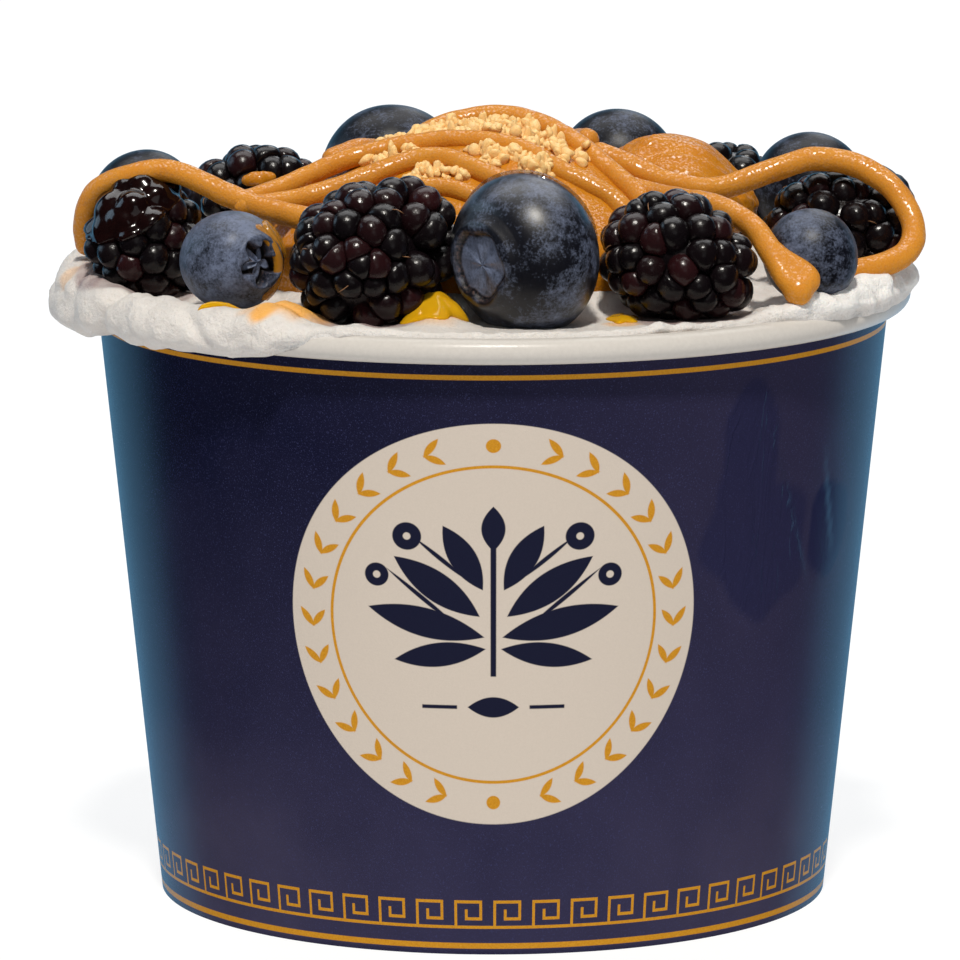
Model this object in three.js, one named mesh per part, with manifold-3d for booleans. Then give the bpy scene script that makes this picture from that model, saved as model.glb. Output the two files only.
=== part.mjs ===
// Greek yogurt in a paper cup, heaped with brambles, blueberries, nut butter and chopped nuts.
// Millimetres, +Z up. The origin is the middle of the cup's foot, and the shown side faces -Y.
import * as THREE from "three";
import { ConvexGeometry } from "three/addons/geometries/ConvexGeometry.js";
import { mergeVertices } from "three/addons/utils/BufferGeometryUtils.js";
import Module from "manifold-3d";

const wasm = await Module();
wasm.setup();

// Clearance between pieces that touch, and the facets round the cup and the yogurt.
const GAP = 0.3;
const TURN_STEPS = 48;
const WELD = 1e-4; // corners closer than this are one
const BALL_SPLITS = { room: 2, dab: 2, tailEnd: 1, nut: 0 }; // how finely round lumps are faceted
const BALL_SLACK = 1.035; // the flats of such a ball lie this much inside its corners

// Paper cup: a tapered wall with a rolled rim, folded under to grip the skirt of the base disc.
const FOOT_RADIUS = 38.2;
const WALL_TAPER = 0.103; // radius gained per millimetre of height
const PAPER = 0.5;
const RIM_HEIGHT = 69.3; // middle of the rolled rim
const RIM_ROLL = 1.45; // radius of the roll
const ROLL_STEPS = 9;
const FOLD_HEIGHT = 5;
const BASE_HEIGHT = 6; // underside of the base disc

// Yogurt: a domed fill that wraps the inner side of the rim and runs over it in places.
// Angles on the rim's roll are degrees from the outside (0) over the top (90) to the inside (180).
const FILL_LEVEL = 70.7;
const DOME_RISE = 8.6;
const DOME_RADIUS = 30;
const SHOULDER_RADIUS = 38; // from here the surface bends to meet the lip
const LIP_EDGE = 120; // where the lip ends on a bare rim
const LIP_TOP = 136; // where the lip meets the top surface
const LIP_THICK = 0.45;
const LIP_ARC = 146; // the lip swells and thins again like a sine over this angle
const HUG_GAP = 0.5; // clearance round the roll, where facets cut the corner
const HUG_STEPS = 5;
const LIP_STEPS = 4;
const TOP_STEPS = 5;
// Where it runs over: direction and half width in degrees round the cup (-90 is the front),
// the angle on the roll that the edge reaches, the greatest thickness of the run and how far its
// edge sags.
const OVERFLOW_CORE = 0.3; // share of the half width that runs at full strength
const OVERFLOWS = [
  { at: -146, spread: 48, edge: -68, thick: 1.5, sag: 0.8 },
  { at: 178, spread: 38, edge: -55, thick: 3.2, sag: 2.4 },
  { at: -22, spread: 34, edge: 22, thick: 2.4, sag: 0.4 },
  { at: 62, spread: 32, edge: 40, thick: 1.8, sag: 0 },
  { at: 118, spread: 34, edge: -10, thick: 2.2, sag: 1 },
];

// Brambles: middle, half width and half length, and the direction of the tip.
const DRUPELET_PITCH = 3.8;
const DRUPELET_VALLEY = 0.87; // valleys between drupelets, as a share of the peaks' distance
const BRAMBLE_TAPER = 0.12; // narrowing towards the tip
const BRAMBLES = [
  { at: [-39.2, -13, 76.6], half: [7.1, 7.9], tip: [-0.2, -0.3, 0.9] },
  { at: [-13.9, -31.8, 77.2], half: [9.0, 9.4], tip: [-0.6, -0.7, 0.3] },
  { at: [20.4, -29.9, 77.1], half: [7.6, 9.2], tip: [0.91, -0.2, -0.36] },
  { at: [39.2, -5, 76.6], half: [6.9, 8.6], tip: [1, -0.15, -0.1] },
  { at: [27.7, 32.2, 75.9], half: [6.2, 6.9], tip: [0.5, 0.7, 0.2] },
  { at: [1.6, 37.5, 76.2], half: [6.0, 6.5], tip: [0, 0.5, 0.85] },
  { at: [-27.2, 25.6, 76.2], half: [6.6, 8.3], tip: [-0.97, 0.2, 0.1] },
];

// Blueberries: middle, half width and half length, and the direction of the crown.
const CROWN_POINTS = 5;
const CROWN_RADIUS = 0.4; // as a share of the half width
const CROWN_STAR = 0.09; // how far the points reach beyond that circle
const CROWN_DEPTH = 0.17; // floor of the crown below its points, as a share of the half length
const CROWN_FLOOR = 0.7; // width of that floor, as a share of the crown's
const BLUEBERRY_STEPS = 15;
const BLUEBERRY_RINGS = 5;
const BLUEBERRIES = [
  { at: [-29.0, -28, 76.6], half: [5.6, 6.3], crown: [0.5, -0.85, -0.06] },
  { at: [3.5, -34.2, 78.2], half: [9.2, 7.4], crown: [-0.74, -0.66, -0.08] },
  { at: [35.4, -24.5, 76.6], half: [5.4, 5.2], crown: [0.5, 0.7, 0.4] },
  { at: [42.8, 8.5, 76.7], half: [6.1, 5.8], crown: [0.8, 0.4, 0.3] },
  { at: [37.0, 22.5, 77.6], half: [6.7, 6.4], crown: [0.5, 0.8, 0.2] },
  { at: [14.8, 36, 78.0], half: [7.2, 6.6], crown: [0.3, 0.9, 0.1] },
  { at: [-11.8, 32, 78.0], half: [8.4, 7.6], crown: [-0.2, 0.95, 0.2] },
  { at: [-40.2, 14.5, 76.8], half: [6.5, 6.3], crown: [-0.6, 0.75, 0.2] },
  { at: [-41.3, 0.8, 75.9], half: [5.8, 5.6], crown: [-0.9, 0.3, 0.3] },
];

// Nut butter: a low heap in the middle with ropes of it drizzled over the heap and the berries.
const HEAP_MIDDLE = [0, -4];
const HEAP_REACH = { left: 27, right: 24, front: 21, back: 26 };
const HEAP_TOP = 88;
const HEAP_FALL = 9.5; // from the top to the edge
const HEAP_SKIRT = 1.08; // width of the foot, as a share of the reach
const HEAP_SKIRT_HEIGHT = 0.6; // height of the foot, as a share of the edge's
const HEAP_STEPS = 20;
const HEAP_RINGS = 4;
const ROPE_SIDES = 7;
const ROPE_STEP = 5;
const ROPE_LIFT = 0.8; // middle of a rope above the heap that it lies on
const ROPES = [
  { // left loop, from the yogurt over the first bramble
    radius: 1.3,
    route: [
      [-46.0, -5.5, 74.3], [-46.3, -8.5, 78.2], [-44.6, -11.5, 82.3], [-40.6, -14, 84.4],
      [-36.3, -14.5, 84.8], [-27.8, -18, 81.8], [-20.7, -22, 80.5], [-16, -21, 80],
    ],
  },
  { // high strand
    radius: 1.2,
    route: [
      [-29.3, -18, 81.5], [-23.1, -12, 82.9], [-16.7, -8.5, 85.3], [-10.2, -8, 86.8],
      [-3.7, -9, 87.6], [2.7, -11, 87], [8, -14.5, 84.6], [13.4, -16.5, 81.9], [15.8, -18.6, 79.4],
      [17.2, -20.6, 77],
    ],
  },
  { // low strand
    radius: 1.25,
    route: [
      [-28.9, -19, 81.3], [-20.9, -15, 81.9], [-14.5, -14, 83.9], [-8.8, -13, 85.9],
      [-5.4, -13.7, 86.1], [-0.5, -17, 84.7], [3.6, -19.6, 83.2],
    ],
  },
  { // front strand
    radius: 1.15,
    route: [[-12.1, -18, 82.7], [-5.9, -18.3, 83.5], [-1.5, -20.2, 82.6]],
  },
  { // crest
    radius: 1.25,
    route: [
      [-10.1, -6, 86.2], [-7.1, -1.5, 87.7], [-3.8, 0, 88.7], [0.8, 0, 89.2], [4.2, -1, 88.7],
      [9.2, -5.4, 86.9], [13.4, -11, 84.2], [16.2, -14, 82], [18.2, -16.6, 79.8], [19.6, -18.6, 77.6],
    ],
  },
  { // right loop, round the outer bramble
    radius: 1.35,
    route: [
      [10.9, -5, 86], [15.6, -6.8, 84.3], [19.8, -8.5, 82.7], [25.2, -10, 82.2], [31.8, -9, 84.2],
      [36.4, -7.8, 85.3], [41.5, -8, 84.4], [45.1, -9.8, 82.2], [47.4, -12.5, 78.3],
      [46.7, -15, 75.9], [44, -17.5, 74.7], [40.9, -18.9, 74.2], [37.6, -18.4, 73.8],
    ],
  },
  { // tail, between two berries down to the rim
    radius: 1.4,
    route: [
      [14.6, -11.2, 82.8], [17.7, -13.5, 82.1], [20.8, -17.3, 82], [24.6, -21.2, 81.9],
      [28.9, -25.5, 80.1], [30.9, -28.6, 77.5], [32.5, -30.8, 75.1], [34, -31.6, 73.7],
    ],
  },
  { // the tail's end, folded back
    radius: 1.45,
    route: [[31.6, -28.8, 77], [33.4, -29.4, 76], [34.9, -30.7, 74.9], [34.3, -31.6, 73.8]],
  },
  { // back loop
    radius: 1.35,
    route: [[10.9, -4], [9.5, 8], [4, 14.5], [-4, 16.5], [-11, 14], [-15, 6], [-19, 0]].map(onHeap),
  },
  { // back strand
    radius: 1.4,
    route: [[-22, 8], [-15, 15], [-8, 20], [2, 21], [10, 18.5], [17, 11]].map(onHeap),
  },
];
const TAIL_END = [33.8, -31.6, 73.9];
const TAIL_END_RADIUS = 1.8;
const DAB_MIDDLE = [21.8, 4.5, 80.2];
const DAB_HALF = [8.6, 8.2, 5.2];
const DAB_TILT = 20; // degrees, down towards +X

// Chopped nuts: chips scattered over the heap and set into it.
const NUT_COUNT = 16;
const NUT_SIZES = [1.0, 1.7];
const NUT_DEPTHS = [0.6, 1]; // depth and height of a chip, as shares of its length
const NUT_HEIGHTS = [0.5, 0.9];
const NUT_RISE = 0.25; // middle of a chip above the heap, as a share of its size
const NUT_FIELD = { x: [-12, 11], y: [-17, 11] };
const NUT_SEED = 7;

const COLOURS = {
  cup: { color: 0x10203f, roughness: 0.55 },
  base: { color: 0xeeece6, roughness: 0.7 },
  yogurt: { color: 0xf6f3ee, roughness: 0.35 },
  bramble: { color: 0x24131f, roughness: 0.25 },
  blueberry: { color: 0x3b4358, roughness: 0.6 },
  nutButter: { color: 0xb8742c, roughness: 0.35 },
};

const UP = new THREE.Vector3(0, 0, 1);
const radians = THREE.MathUtils.degToRad;
const mix = THREE.MathUtils.lerp;
const smooth = THREE.MathUtils.smoothstep;

const wallRadius = (height) => FOOT_RADIUS + WALL_TAPER * height;
const fillRadius = (height) => wallRadius(height) - PAPER - GAP;
const rollMiddle = new THREE.Vector2(wallRadius(RIM_HEIGHT) - PAPER + RIM_ROLL, RIM_HEIGHT);

// A point in the wall's section, placed by its angle and distance from the middle of the roll.
function onRoll(degrees, distance) {
  const angle = radians(degrees);
  const offset = new THREE.Vector2(Math.cos(angle), Math.sin(angle));
  return offset.multiplyScalar(distance).add(rollMiddle);
}

// Turns a section of (radius, height) points about the Z axis.
function turned(section, steps) {
  return new THREE.LatheGeometry(section, steps).rotateX(Math.PI / 2);
}

// A mesh's bare, welded surface, as solid booleans need it.
function solidOf(geometry) {
  const bare = geometry.clone();
  for (const name of Object.keys(bare.attributes)) {
    if (name !== "position") bare.deleteAttribute(name);
  }
  const welded = mergeVertices(bare, WELD);
  const corners = [];
  for (let i = 0; i < welded.index.count; i += 3) {
    const [a, b, c] = [0, 1, 2].map((k) => welded.index.getX(i + k));
    if (a !== b && b !== c && c !== a) corners.push(a, b, c);
  }
  const vertProperties = new Float32Array(welded.attributes.position.array);
  const triVerts = new Uint32Array(corners);
  return new wasm.Manifold(new wasm.Mesh({ numProp: 3, vertProperties, triVerts }));
}

function geometryOf(solid) {
  const mesh = solid.getMesh();
  const geometry = new THREE.BufferGeometry();
  geometry.setAttribute("position", new THREE.BufferAttribute(mesh.vertProperties, mesh.numProp));
  geometry.setIndex(new THREE.BufferAttribute(mesh.triVerts, 1));
  geometry.computeVertexNormals();
  return geometry;
}

const joined = (geometries) => geometries.map(solidOf).reduce((all, one) => all.add(one));

// The largest of a solid's separate bodies, without scraps and closed bubbles.
function largest(solid) {
  return solid.decompose().reduce((best, one) => (one.volume() > best.volume() ? one : best));
}

function cupWall() {
  const foldOuter = (height) => wallRadius(height) - 2 * PAPER - 2 * GAP;
  const foldInner = (height) => foldOuter(height) - PAPER;
  const rollStart = -THREE.MathUtils.radToDeg(Math.acos(PAPER / RIM_ROLL - 1));
  const section = [new THREE.Vector2(wallRadius(0), 0)];
  for (let i = 0; i <= ROLL_STEPS; i++) {
    section.push(onRoll(mix(rollStart, 180, i / ROLL_STEPS), RIM_ROLL));
  }
  section.push(
    new THREE.Vector2(wallRadius(PAPER) - PAPER, PAPER),
    new THREE.Vector2(foldOuter(PAPER), PAPER),
    new THREE.Vector2(foldOuter(FOLD_HEIGHT), FOLD_HEIGHT),
    new THREE.Vector2(foldInner(FOLD_HEIGHT), FOLD_HEIGHT),
    new THREE.Vector2(foldInner(0), 0),
    new THREE.Vector2(wallRadius(0), 0),
  );
  return turned(section, TURN_STEPS);
}

// The base is a disc whose skirt hangs down between the wall and its fold.
function cupBase() {
  const skirtFoot = PAPER + GAP;
  const section = [
    new THREE.Vector2(0, BASE_HEIGHT),
    new THREE.Vector2(fillRadius(BASE_HEIGHT) - PAPER, BASE_HEIGHT),
    new THREE.Vector2(fillRadius(skirtFoot) - PAPER, skirtFoot),
    new THREE.Vector2(fillRadius(skirtFoot), skirtFoot),
    new THREE.Vector2(fillRadius(BASE_HEIGHT + PAPER), BASE_HEIGHT + PAPER),
    new THREE.Vector2(0, BASE_HEIGHT + PAPER),
  ];
  return turned(section, TURN_STEPS);
}

// How strongly one overflow acts in a direction, from 0 outside it to 1 at its core.
function overflowShare(overflow, degrees) {
  const away = Math.abs(THREE.MathUtils.euclideanModulo(degrees - overflow.at + 180, 360) - 180);
  return 1 - smooth(away, OVERFLOW_CORE * overflow.spread, overflow.spread);
}

// The yogurt's section in one direction: floor, wall, round the roll, lip and top.
function yogurtSection(degrees) {
  let edge = LIP_EDGE;
  let thick = LIP_THICK;
  let sag = 0;
  for (const overflow of OVERFLOWS) {
    const share = overflowShare(overflow, degrees);
    edge = Math.min(edge, mix(LIP_EDGE, overflow.edge, share));
    thick = Math.max(thick, mix(LIP_THICK, overflow.thick, share));
    sag = Math.max(sag, overflow.sag * share);
  }
  const floor = BASE_HEIGHT + PAPER + GAP;
  const section = [new THREE.Vector2(0, floor), new THREE.Vector2(fillRadius(floor), floor)];
  const hug = RIM_ROLL + HUG_GAP;
  for (let i = 0; i <= HUG_STEPS; i++) {
    section.push(onRoll(mix(180, edge, i / HUG_STEPS), hug));
  }
  for (let i = 1; i <= LIP_STEPS; i++) {
    const along = i / LIP_STEPS;
    const swell = Math.sin(radians(along * LIP_ARC));
    const point = onRoll(mix(edge, LIP_TOP, along), hug + thick * swell);
    section.push(new THREE.Vector2(point.x, point.y - sag * (1 - along)));
  }
  const rim = section.at(-1);
  for (let i = 1; i <= TOP_STEPS; i++) {
    const radius = rim.x * (1 - i / TOP_STEPS);
    const dome = FILL_LEVEL + DOME_RISE * Math.max(0, 1 - (radius / DOME_RADIUS) ** 2);
    section.push(new THREE.Vector2(radius, mix(dome, rim.y, smooth(radius, SHOULDER_RADIUS, rim.x))));
  }
  return section;
}

function yogurt() {
  const count = yogurtSection(0).length;
  const geometry = turned(yogurtSection(0), TURN_STEPS);
  const position = geometry.attributes.position;
  for (let turn = 0; turn <= TURN_STEPS; turn++) {
    const degrees = (turn % TURN_STEPS) * (360 / TURN_STEPS) - 90;
    const [across, along] = [Math.cos(radians(degrees)), Math.sin(radians(degrees))];
    yogurtSection(degrees).forEach((point, i) => {
      position.setXYZ(turn * count + i, point.x * across, point.x * along, point.y);
    });
  }
  geometry.setIndex(shortDiagonals(position, count));
  return geometry;
}

// Triangles of a turned surface, each four-sided face split along its shorter diagonal.
function shortDiagonals(position, count) {
  const point = (i) => new THREE.Vector3().fromBufferAttribute(position, i);
  const corners = [];
  for (let turn = 0; turn < TURN_STEPS; turn++) {
    for (let i = 0; i < count - 1; i++) {
      const [a, b] = [turn * count + i, (turn + 1) * count + i];
      const [c, d] = [b + 1, a + 1];
      const [first, second] = [point(a).distanceTo(point(c)), point(b).distanceTo(point(d))];
      corners.push(...(first < second ? [a, b, c, a, c, d] : [a, b, d, c, d, b]));
    }
  }
  return corners;
}

// Turns a berry made along +Z towards its own direction and moves it into place.
function placed(geometry, at, direction) {
  const turn = new THREE.Quaternion().setFromUnitVectors(UP, new THREE.Vector3(...direction).normalize());
  return geometry.applyQuaternion(turn).translate(...at);
}

// Points spread evenly over a unit sphere along a golden spiral.
function spiralPoints(count) {
  const golden = Math.PI * (3 - Math.sqrt(5));
  return Array.from({ length: count }, (_, i) => {
    const height = 1 - (2 * i + 1) / count;
    const radius = Math.sqrt(1 - height ** 2);
    return new THREE.Vector3(radius * Math.cos(golden * i), radius * Math.sin(golden * i), height);
  });
}

// Each drupelet is a peak on an egg-shaped body, and the hollow between three of them a valley.
function bramble({ at, half: [across, along], tip }) {
  const area = 4 * Math.PI * across * (across + 2 * along) / 3;
  const peaks = spiralPoints(Math.round(area / (DRUPELET_PITCH ** 2 * Math.sin(Math.PI / 3))));
  const corners = new ConvexGeometry(peaks).attributes.position;
  const egg = (point) => {
    const width = across * (1 - BRAMBLE_TAPER * Math.max(0, point.z));
    return point.clone().multiply(new THREE.Vector3(width, width, along));
  };
  const faces = [];
  for (let i = 0; i < corners.count; i += 3) {
    const three = [0, 1, 2].map((k) => new THREE.Vector3().fromBufferAttribute(corners, i + k));
    const middle = three[0].clone().add(three[1]).add(three[2]).normalize();
    const valley = egg(middle).multiplyScalar(DRUPELET_VALLEY);
    three.forEach((peak, k) => faces.push(egg(peak), egg(three[(k + 1) % 3]), valley));
  }
  return placed(new THREE.BufferGeometry().setFromPoints(faces), at, tip);
}

// A slightly flattened ball with a five-pointed crown sunk into one end.
function blueberry({ at, half: [across, along], crown }) {
  const crownAngle = Math.acos(CROWN_RADIUS);
  const section = [];
  for (let i = 0; i <= BLUEBERRY_RINGS; i++) {
    const angle = mix(-Math.PI / 2, crownAngle, i / BLUEBERRY_RINGS);
    section.push(new THREE.Vector2(i ? across * Math.cos(angle) : 0, along * Math.sin(angle)));
  }
  const lip = section.length;
  section.push(
    new THREE.Vector2(across * CROWN_RADIUS, along),
    new THREE.Vector2(across * CROWN_RADIUS * CROWN_FLOOR, along * (1 - CROWN_DEPTH)),
    new THREE.Vector2(0, along * (1 - CROWN_DEPTH)),
  );
  const geometry = turned(section, BLUEBERRY_STEPS);
  const position = geometry.attributes.position;
  for (let turn = 0; turn <= BLUEBERRY_STEPS; turn++) {
    const point = turn * section.length + lip;
    const wave = Math.cos((CROWN_POINTS * turn * 2 * Math.PI) / BLUEBERRY_STEPS);
    const reach = 1 + (CROWN_STAR / CROWN_RADIUS) * wave;
    position.setXY(point, position.getX(point) * reach, position.getY(point) * reach);
  }
  return placed(geometry, at, crown);
}

// The room that a berry takes: an egg a little larger than it, to cut its neighbours with.
function berryRoom({ at, half: [across, along], tip, crown }) {
  const room = new THREE.IcosahedronGeometry(BALL_SLACK, BALL_SPLITS.room);
  return placed(room.scale(across + GAP, across + GAP, along + GAP), at, tip ?? crown);
}

// How far the heap reaches from its middle towards a point's side.
function heapReach(across, along) {
  const { left, right, front, back } = HEAP_REACH;
  return [across < 0 ? left : right, along < 0 ? front : back];
}

function heapHeight(x, y) {
  const [across, along] = [x - HEAP_MIDDLE[0], y - HEAP_MIDDLE[1]];
  const [reachX, reachY] = heapReach(across, along);
  return HEAP_TOP - HEAP_FALL * ((across / reachX) ** 2 + (along / reachY) ** 2);
}

function onHeap([x, y]) {
  return [x, y, heapHeight(x, y) + ROPE_LIFT];
}

// The heap is turned as a round dome of radius 1, then stretched to its reach on each side.
function heap() {
  const shoulder = HEAP_TOP - HEAP_FALL;
  const section = [
    new THREE.Vector2(0, FILL_LEVEL),
    new THREE.Vector2(HEAP_SKIRT, FILL_LEVEL),
    new THREE.Vector2(HEAP_SKIRT, mix(FILL_LEVEL, shoulder, HEAP_SKIRT_HEIGHT)),
  ];
  for (let i = 0; i <= HEAP_RINGS; i++) {
    const share = 1 - i / HEAP_RINGS;
    section.push(new THREE.Vector2(share, HEAP_TOP - HEAP_FALL * share ** 2));
  }
  const geometry = turned(section, HEAP_STEPS);
  const position = geometry.attributes.position;
  for (let i = 0; i < position.count; i++) {
    const [across, along] = [position.getX(i), position.getY(i)];
    const [reachX, reachY] = heapReach(across, along);
    position.setXY(i, HEAP_MIDDLE[0] + across * reachX, HEAP_MIDDLE[1] + along * reachY);
  }
  return geometry;
}

function rope({ radius, route }) {
  const path = new THREE.CatmullRomCurve3(route.map((point) => new THREE.Vector3(...point)));
  const round = new THREE.Shape();
  for (let i = 0; i < ROPE_SIDES; i++) {
    const angle = (i * 2 * Math.PI) / ROPE_SIDES;
    const [x, y] = [radius * Math.cos(angle), radius * Math.sin(angle)];
    if (i) {
      round.lineTo(x, y);
    } else {
      round.moveTo(x, y);
    }
  }
  const steps = Math.round(path.getLength() / ROPE_STEP);
  return new THREE.ExtrudeGeometry(round, { steps, extrudePath: path });
}

function dab() {
  const ball = new THREE.IcosahedronGeometry(1, BALL_SPLITS.dab);
  return ball.scale(...DAB_HALF).rotateY(radians(DAB_TILT)).translate(...DAB_MIDDLE);
}

function tailEnd() {
  return new THREE.IcosahedronGeometry(TAIL_END_RADIUS, BALL_SPLITS.tailEnd).translate(...TAIL_END);
}

function choppedNuts() {
  THREE.MathUtils.seededRandom(NUT_SEED);
  const draw = (low, high) => mix(low, high, THREE.MathUtils.seededRandom());
  return Array.from({ length: NUT_COUNT }, () => {
    const size = draw(...NUT_SIZES);
    const [x, y] = [draw(...NUT_FIELD.x), draw(...NUT_FIELD.y)];
    const surface = heapHeight(x, y);
    const chip = new THREE.IcosahedronGeometry(size, BALL_SPLITS.nut);
    chip.scale(1, draw(...NUT_DEPTHS), draw(...NUT_HEIGHTS));
    chip.rotateX(draw(0, Math.PI)).rotateZ(draw(0, Math.PI));
    return chip.translate(x, y, surface + size * NUT_RISE);
  });
}

const berries = [...BRAMBLES, ...BLUEBERRIES];
const rooms = joined(berries.map(berryRoom));
const bareYogurt = yogurt();
const liftedYogurt = solidOf(bareYogurt.clone().translate(0, 0, GAP));
const fittedYogurt = largest(solidOf(bareYogurt).subtract(rooms));

function nutButter() {
  const pieces = [heap(), dab(), tailEnd(), ...ROPES.map(rope), ...choppedNuts()];
  return geometryOf(largest(joined(pieces).subtract(liftedYogurt).subtract(rooms)));
}

const cup = new THREE.Group();

function add(name, geometry, look) {
  const mesh = new THREE.Mesh(geometry, new THREE.MeshStandardMaterial({ metalness: 0, ...look }));
  mesh.name = name;
  cup.add(mesh);
}

add("cup_wall", cupWall(), COLOURS.cup);
add("cup_base", cupBase(), COLOURS.base);
add("yogurt", geometryOf(fittedYogurt), COLOURS.yogurt);
add("nut_butter", nutButter(), COLOURS.nutButter);
BRAMBLES.forEach((berry, i) => add(`bramble_${i + 1}`, bramble(berry), COLOURS.bramble));
BLUEBERRIES.forEach((berry, i) => add(`blueberry_${i + 1}`, blueberry(berry), COLOURS.blueberry));

export default cup;
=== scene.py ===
"""Looks of a greek yogurt cup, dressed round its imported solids.

Lengths are millimetres here and become metres where a mesh is made. +Z is up, and the shown side
faces -Y.
"""
import math

import bpy
import numpy as np
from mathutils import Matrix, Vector
from mathutils.bvhtree import BVHTree


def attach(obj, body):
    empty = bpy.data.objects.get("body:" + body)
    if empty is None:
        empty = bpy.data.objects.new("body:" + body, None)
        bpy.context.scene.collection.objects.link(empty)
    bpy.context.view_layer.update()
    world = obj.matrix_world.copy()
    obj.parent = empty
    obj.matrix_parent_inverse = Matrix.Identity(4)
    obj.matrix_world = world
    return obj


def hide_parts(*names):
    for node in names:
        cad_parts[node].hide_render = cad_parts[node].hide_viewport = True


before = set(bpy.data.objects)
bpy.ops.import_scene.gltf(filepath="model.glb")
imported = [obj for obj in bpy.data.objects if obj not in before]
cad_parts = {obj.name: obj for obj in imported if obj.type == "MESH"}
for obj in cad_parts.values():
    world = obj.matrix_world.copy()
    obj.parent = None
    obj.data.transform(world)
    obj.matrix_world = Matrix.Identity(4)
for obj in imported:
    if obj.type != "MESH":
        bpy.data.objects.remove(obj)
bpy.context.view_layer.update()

MM = 0.001
BODY = "root"

# Paper cup
FOOT_RADIUS = 38.2
WALL_TAPER = 0.103
PAPER = 0.5
RIM_HEIGHT = 69.3
RIM_ROLL = 1.45
FOLD_HEIGHT = 5.0
BASE_HEIGHT = 6.0
GAP = 0.3
CUP_STEPS, WALL_ROWS, BASE_STEPS = 400, 105, 144
SEAM_TURN = -112.0  # the lap of the side seam, in degrees from the front
SEAM_WIDTH, SEAM_STEP, SEAM_FADE = 9.0, 0.5, 4.0
SEAM_RISE = 0.28
SEAM_ROWS_ON_ROLL = 9

# Print
GOLD_LINES = [(66.2, 0.55), (1.0, 0.65)]  # height and width
KEY_FOOT, KEY_HEIGHT, KEY_COUNT = 3.0, 3.3, 56
DISC_HEIGHT = 38.1  # middle of the printed disc
DISC_RADIUS = 23.36
DISC_STRETCH = 1.019
DISC_WALL = 42.1  # wall radius at the disc
LIGHTER_SIDE = 1.0  # direction towards which the navy is painted lighter, and away from which it is painted darker: painted light and shade across the wall, in radians from the front

# Yogurt, on the same section as the solid's but with more points
FILL_LEVEL = 70.7
DOME_RISE = 8.6
DOME_RADIUS = 30.0
SHOULDER_RADIUS = 38.0
LIP_EDGE, LIP_TOP, LIP_THICK, LIP_ARC = 120.0, 136.0, 0.45, 146.0
HUG = RIM_ROLL + 0.5
TOUCH = RIM_ROLL - 0.06  # the edge meets the paper of the roll
OVERFLOW_CORE = 0.3
OVERFLOWS = [  # direction, half width, edge on the roll (degrees), thickness, sag of the edge
    (-146, 48, -68, 1.5, 0.8),
    (178, 38, -55, 3.2, 2.4),
    (-22, 34, 22, 2.4, 0.4),
    (62, 32, 40, 1.8, 0.0),
    (118, 34, -10, 2.2, 1.0),
]
YOGURT_FLOOR = BASE_HEIGHT + PAPER + GAP
RAGGED_RADIUS = 46.0  # of the circle round which the edge of the runs varies
YOGURT_STEPS = 600
HUG_ROWS, LIP_ROWS, TOP_ROWS = 26, 44, 46

# Berries: middle, half width and half length, direction of the tip or crown
PITCH = 3.8  # between drupelets
BRAMBLE_TAPER = 0.12
BRAMBLES = [
    ((-39.2, -13, 76.6), (7.1, 7.9), (-0.2, -0.3, 0.9)),
    ((-13.9, -31.8, 77.2), (9.0, 9.4), (-0.6, -0.7, 0.3)),
    ((20.4, -29.9, 77.1), (7.6, 9.2), (0.91, -0.2, -0.36)),
    ((39.2, -5, 76.6), (6.9, 8.6), (1, -0.15, -0.1)),
    ((27.7, 32.2, 75.9), (6.2, 6.9), (0.5, 0.7, 0.2)),
    ((1.6, 37.5, 76.2), (6.0, 6.5), (0, 0.5, 0.85)),
    ((-27.2, 25.6, 76.2), (6.6, 8.3), (-0.97, 0.2, 0.1)),
]
BLUEBERRIES = [
    ((-29.0, -28, 76.6), (5.6, 6.3), (0.58, -0.8, 0.1)),
    ((3.5, -34.2, 78.2), (9.2, 7.4), (-0.74, -0.66, -0.08)),
    ((35.4, -24.5, 76.6), (5.4, 5.2), (0.5, 0.7, 0.4)),
    ((42.8, 8.5, 76.7), (6.1, 5.8), (0.8, 0.4, 0.3)),
    ((37.0, 22.5, 77.6), (6.7, 6.4), (0.5, 0.8, 0.2)),
    ((14.8, 36, 78.0), (7.2, 6.6), (0.3, 0.9, 0.1)),
    ((-11.8, 32, 78.0), (8.4, 7.6), (-0.2, 0.95, 0.2)),
    ((-40.2, 14.5, 76.8), (6.5, 6.3), (-0.6, 0.75, 0.2)),
    ((-41.3, 0.8, 75.9), (5.8, 5.6), (-0.9, 0.3, 0.3)),
]

# Nut butter
HEAP_MIDDLE = (0.0, -4.0)
HEAP_REACH = {"left": 27.0, "right": 24.0, "front": 21.0, "back": 26.0}
HEAP_TOP, HEAP_FALL = 88.0, 9.5
ROPE_LIFT = 0.8
DAB_MIDDLE, DAB_HALF, DAB_TILT = (21.8, 4.5, 80.2), (8.6, 8.2, 5.2), 20.0
TAIL_END, TAIL_END_RADIUS = (33.8, -31.6, 73.9), 1.8


def wall_radius(height):
    return FOOT_RADIUS + WALL_TAPER * height


def fill_radius(height):
    """Radius of what stands inside the wall, a gap away from it."""
    return wall_radius(height) - PAPER - GAP


ROLL_MIDDLE = np.array([wall_radius(RIM_HEIGHT) - PAPER + RIM_ROLL, RIM_HEIGHT])


def heap_reach(across, along):
    """How far the heap reaches in x and in y, on the side of its middle where a spot lies."""
    reach_x = np.where(across < 0, HEAP_REACH["left"], HEAP_REACH["right"])
    return reach_x, np.where(along < 0, HEAP_REACH["front"], HEAP_REACH["back"])


def heap_height(x, y):
    across, along = x - HEAP_MIDDLE[0], y - HEAP_MIDDLE[1]
    reach_x, reach_y = heap_reach(across, along)
    return HEAP_TOP - HEAP_FALL * ((across / reach_x) ** 2 + (along / reach_y) ** 2)


def on_heap(*spots):
    return [(x, y, float(heap_height(x, y)) + ROPE_LIFT) for x, y in spots]


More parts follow.
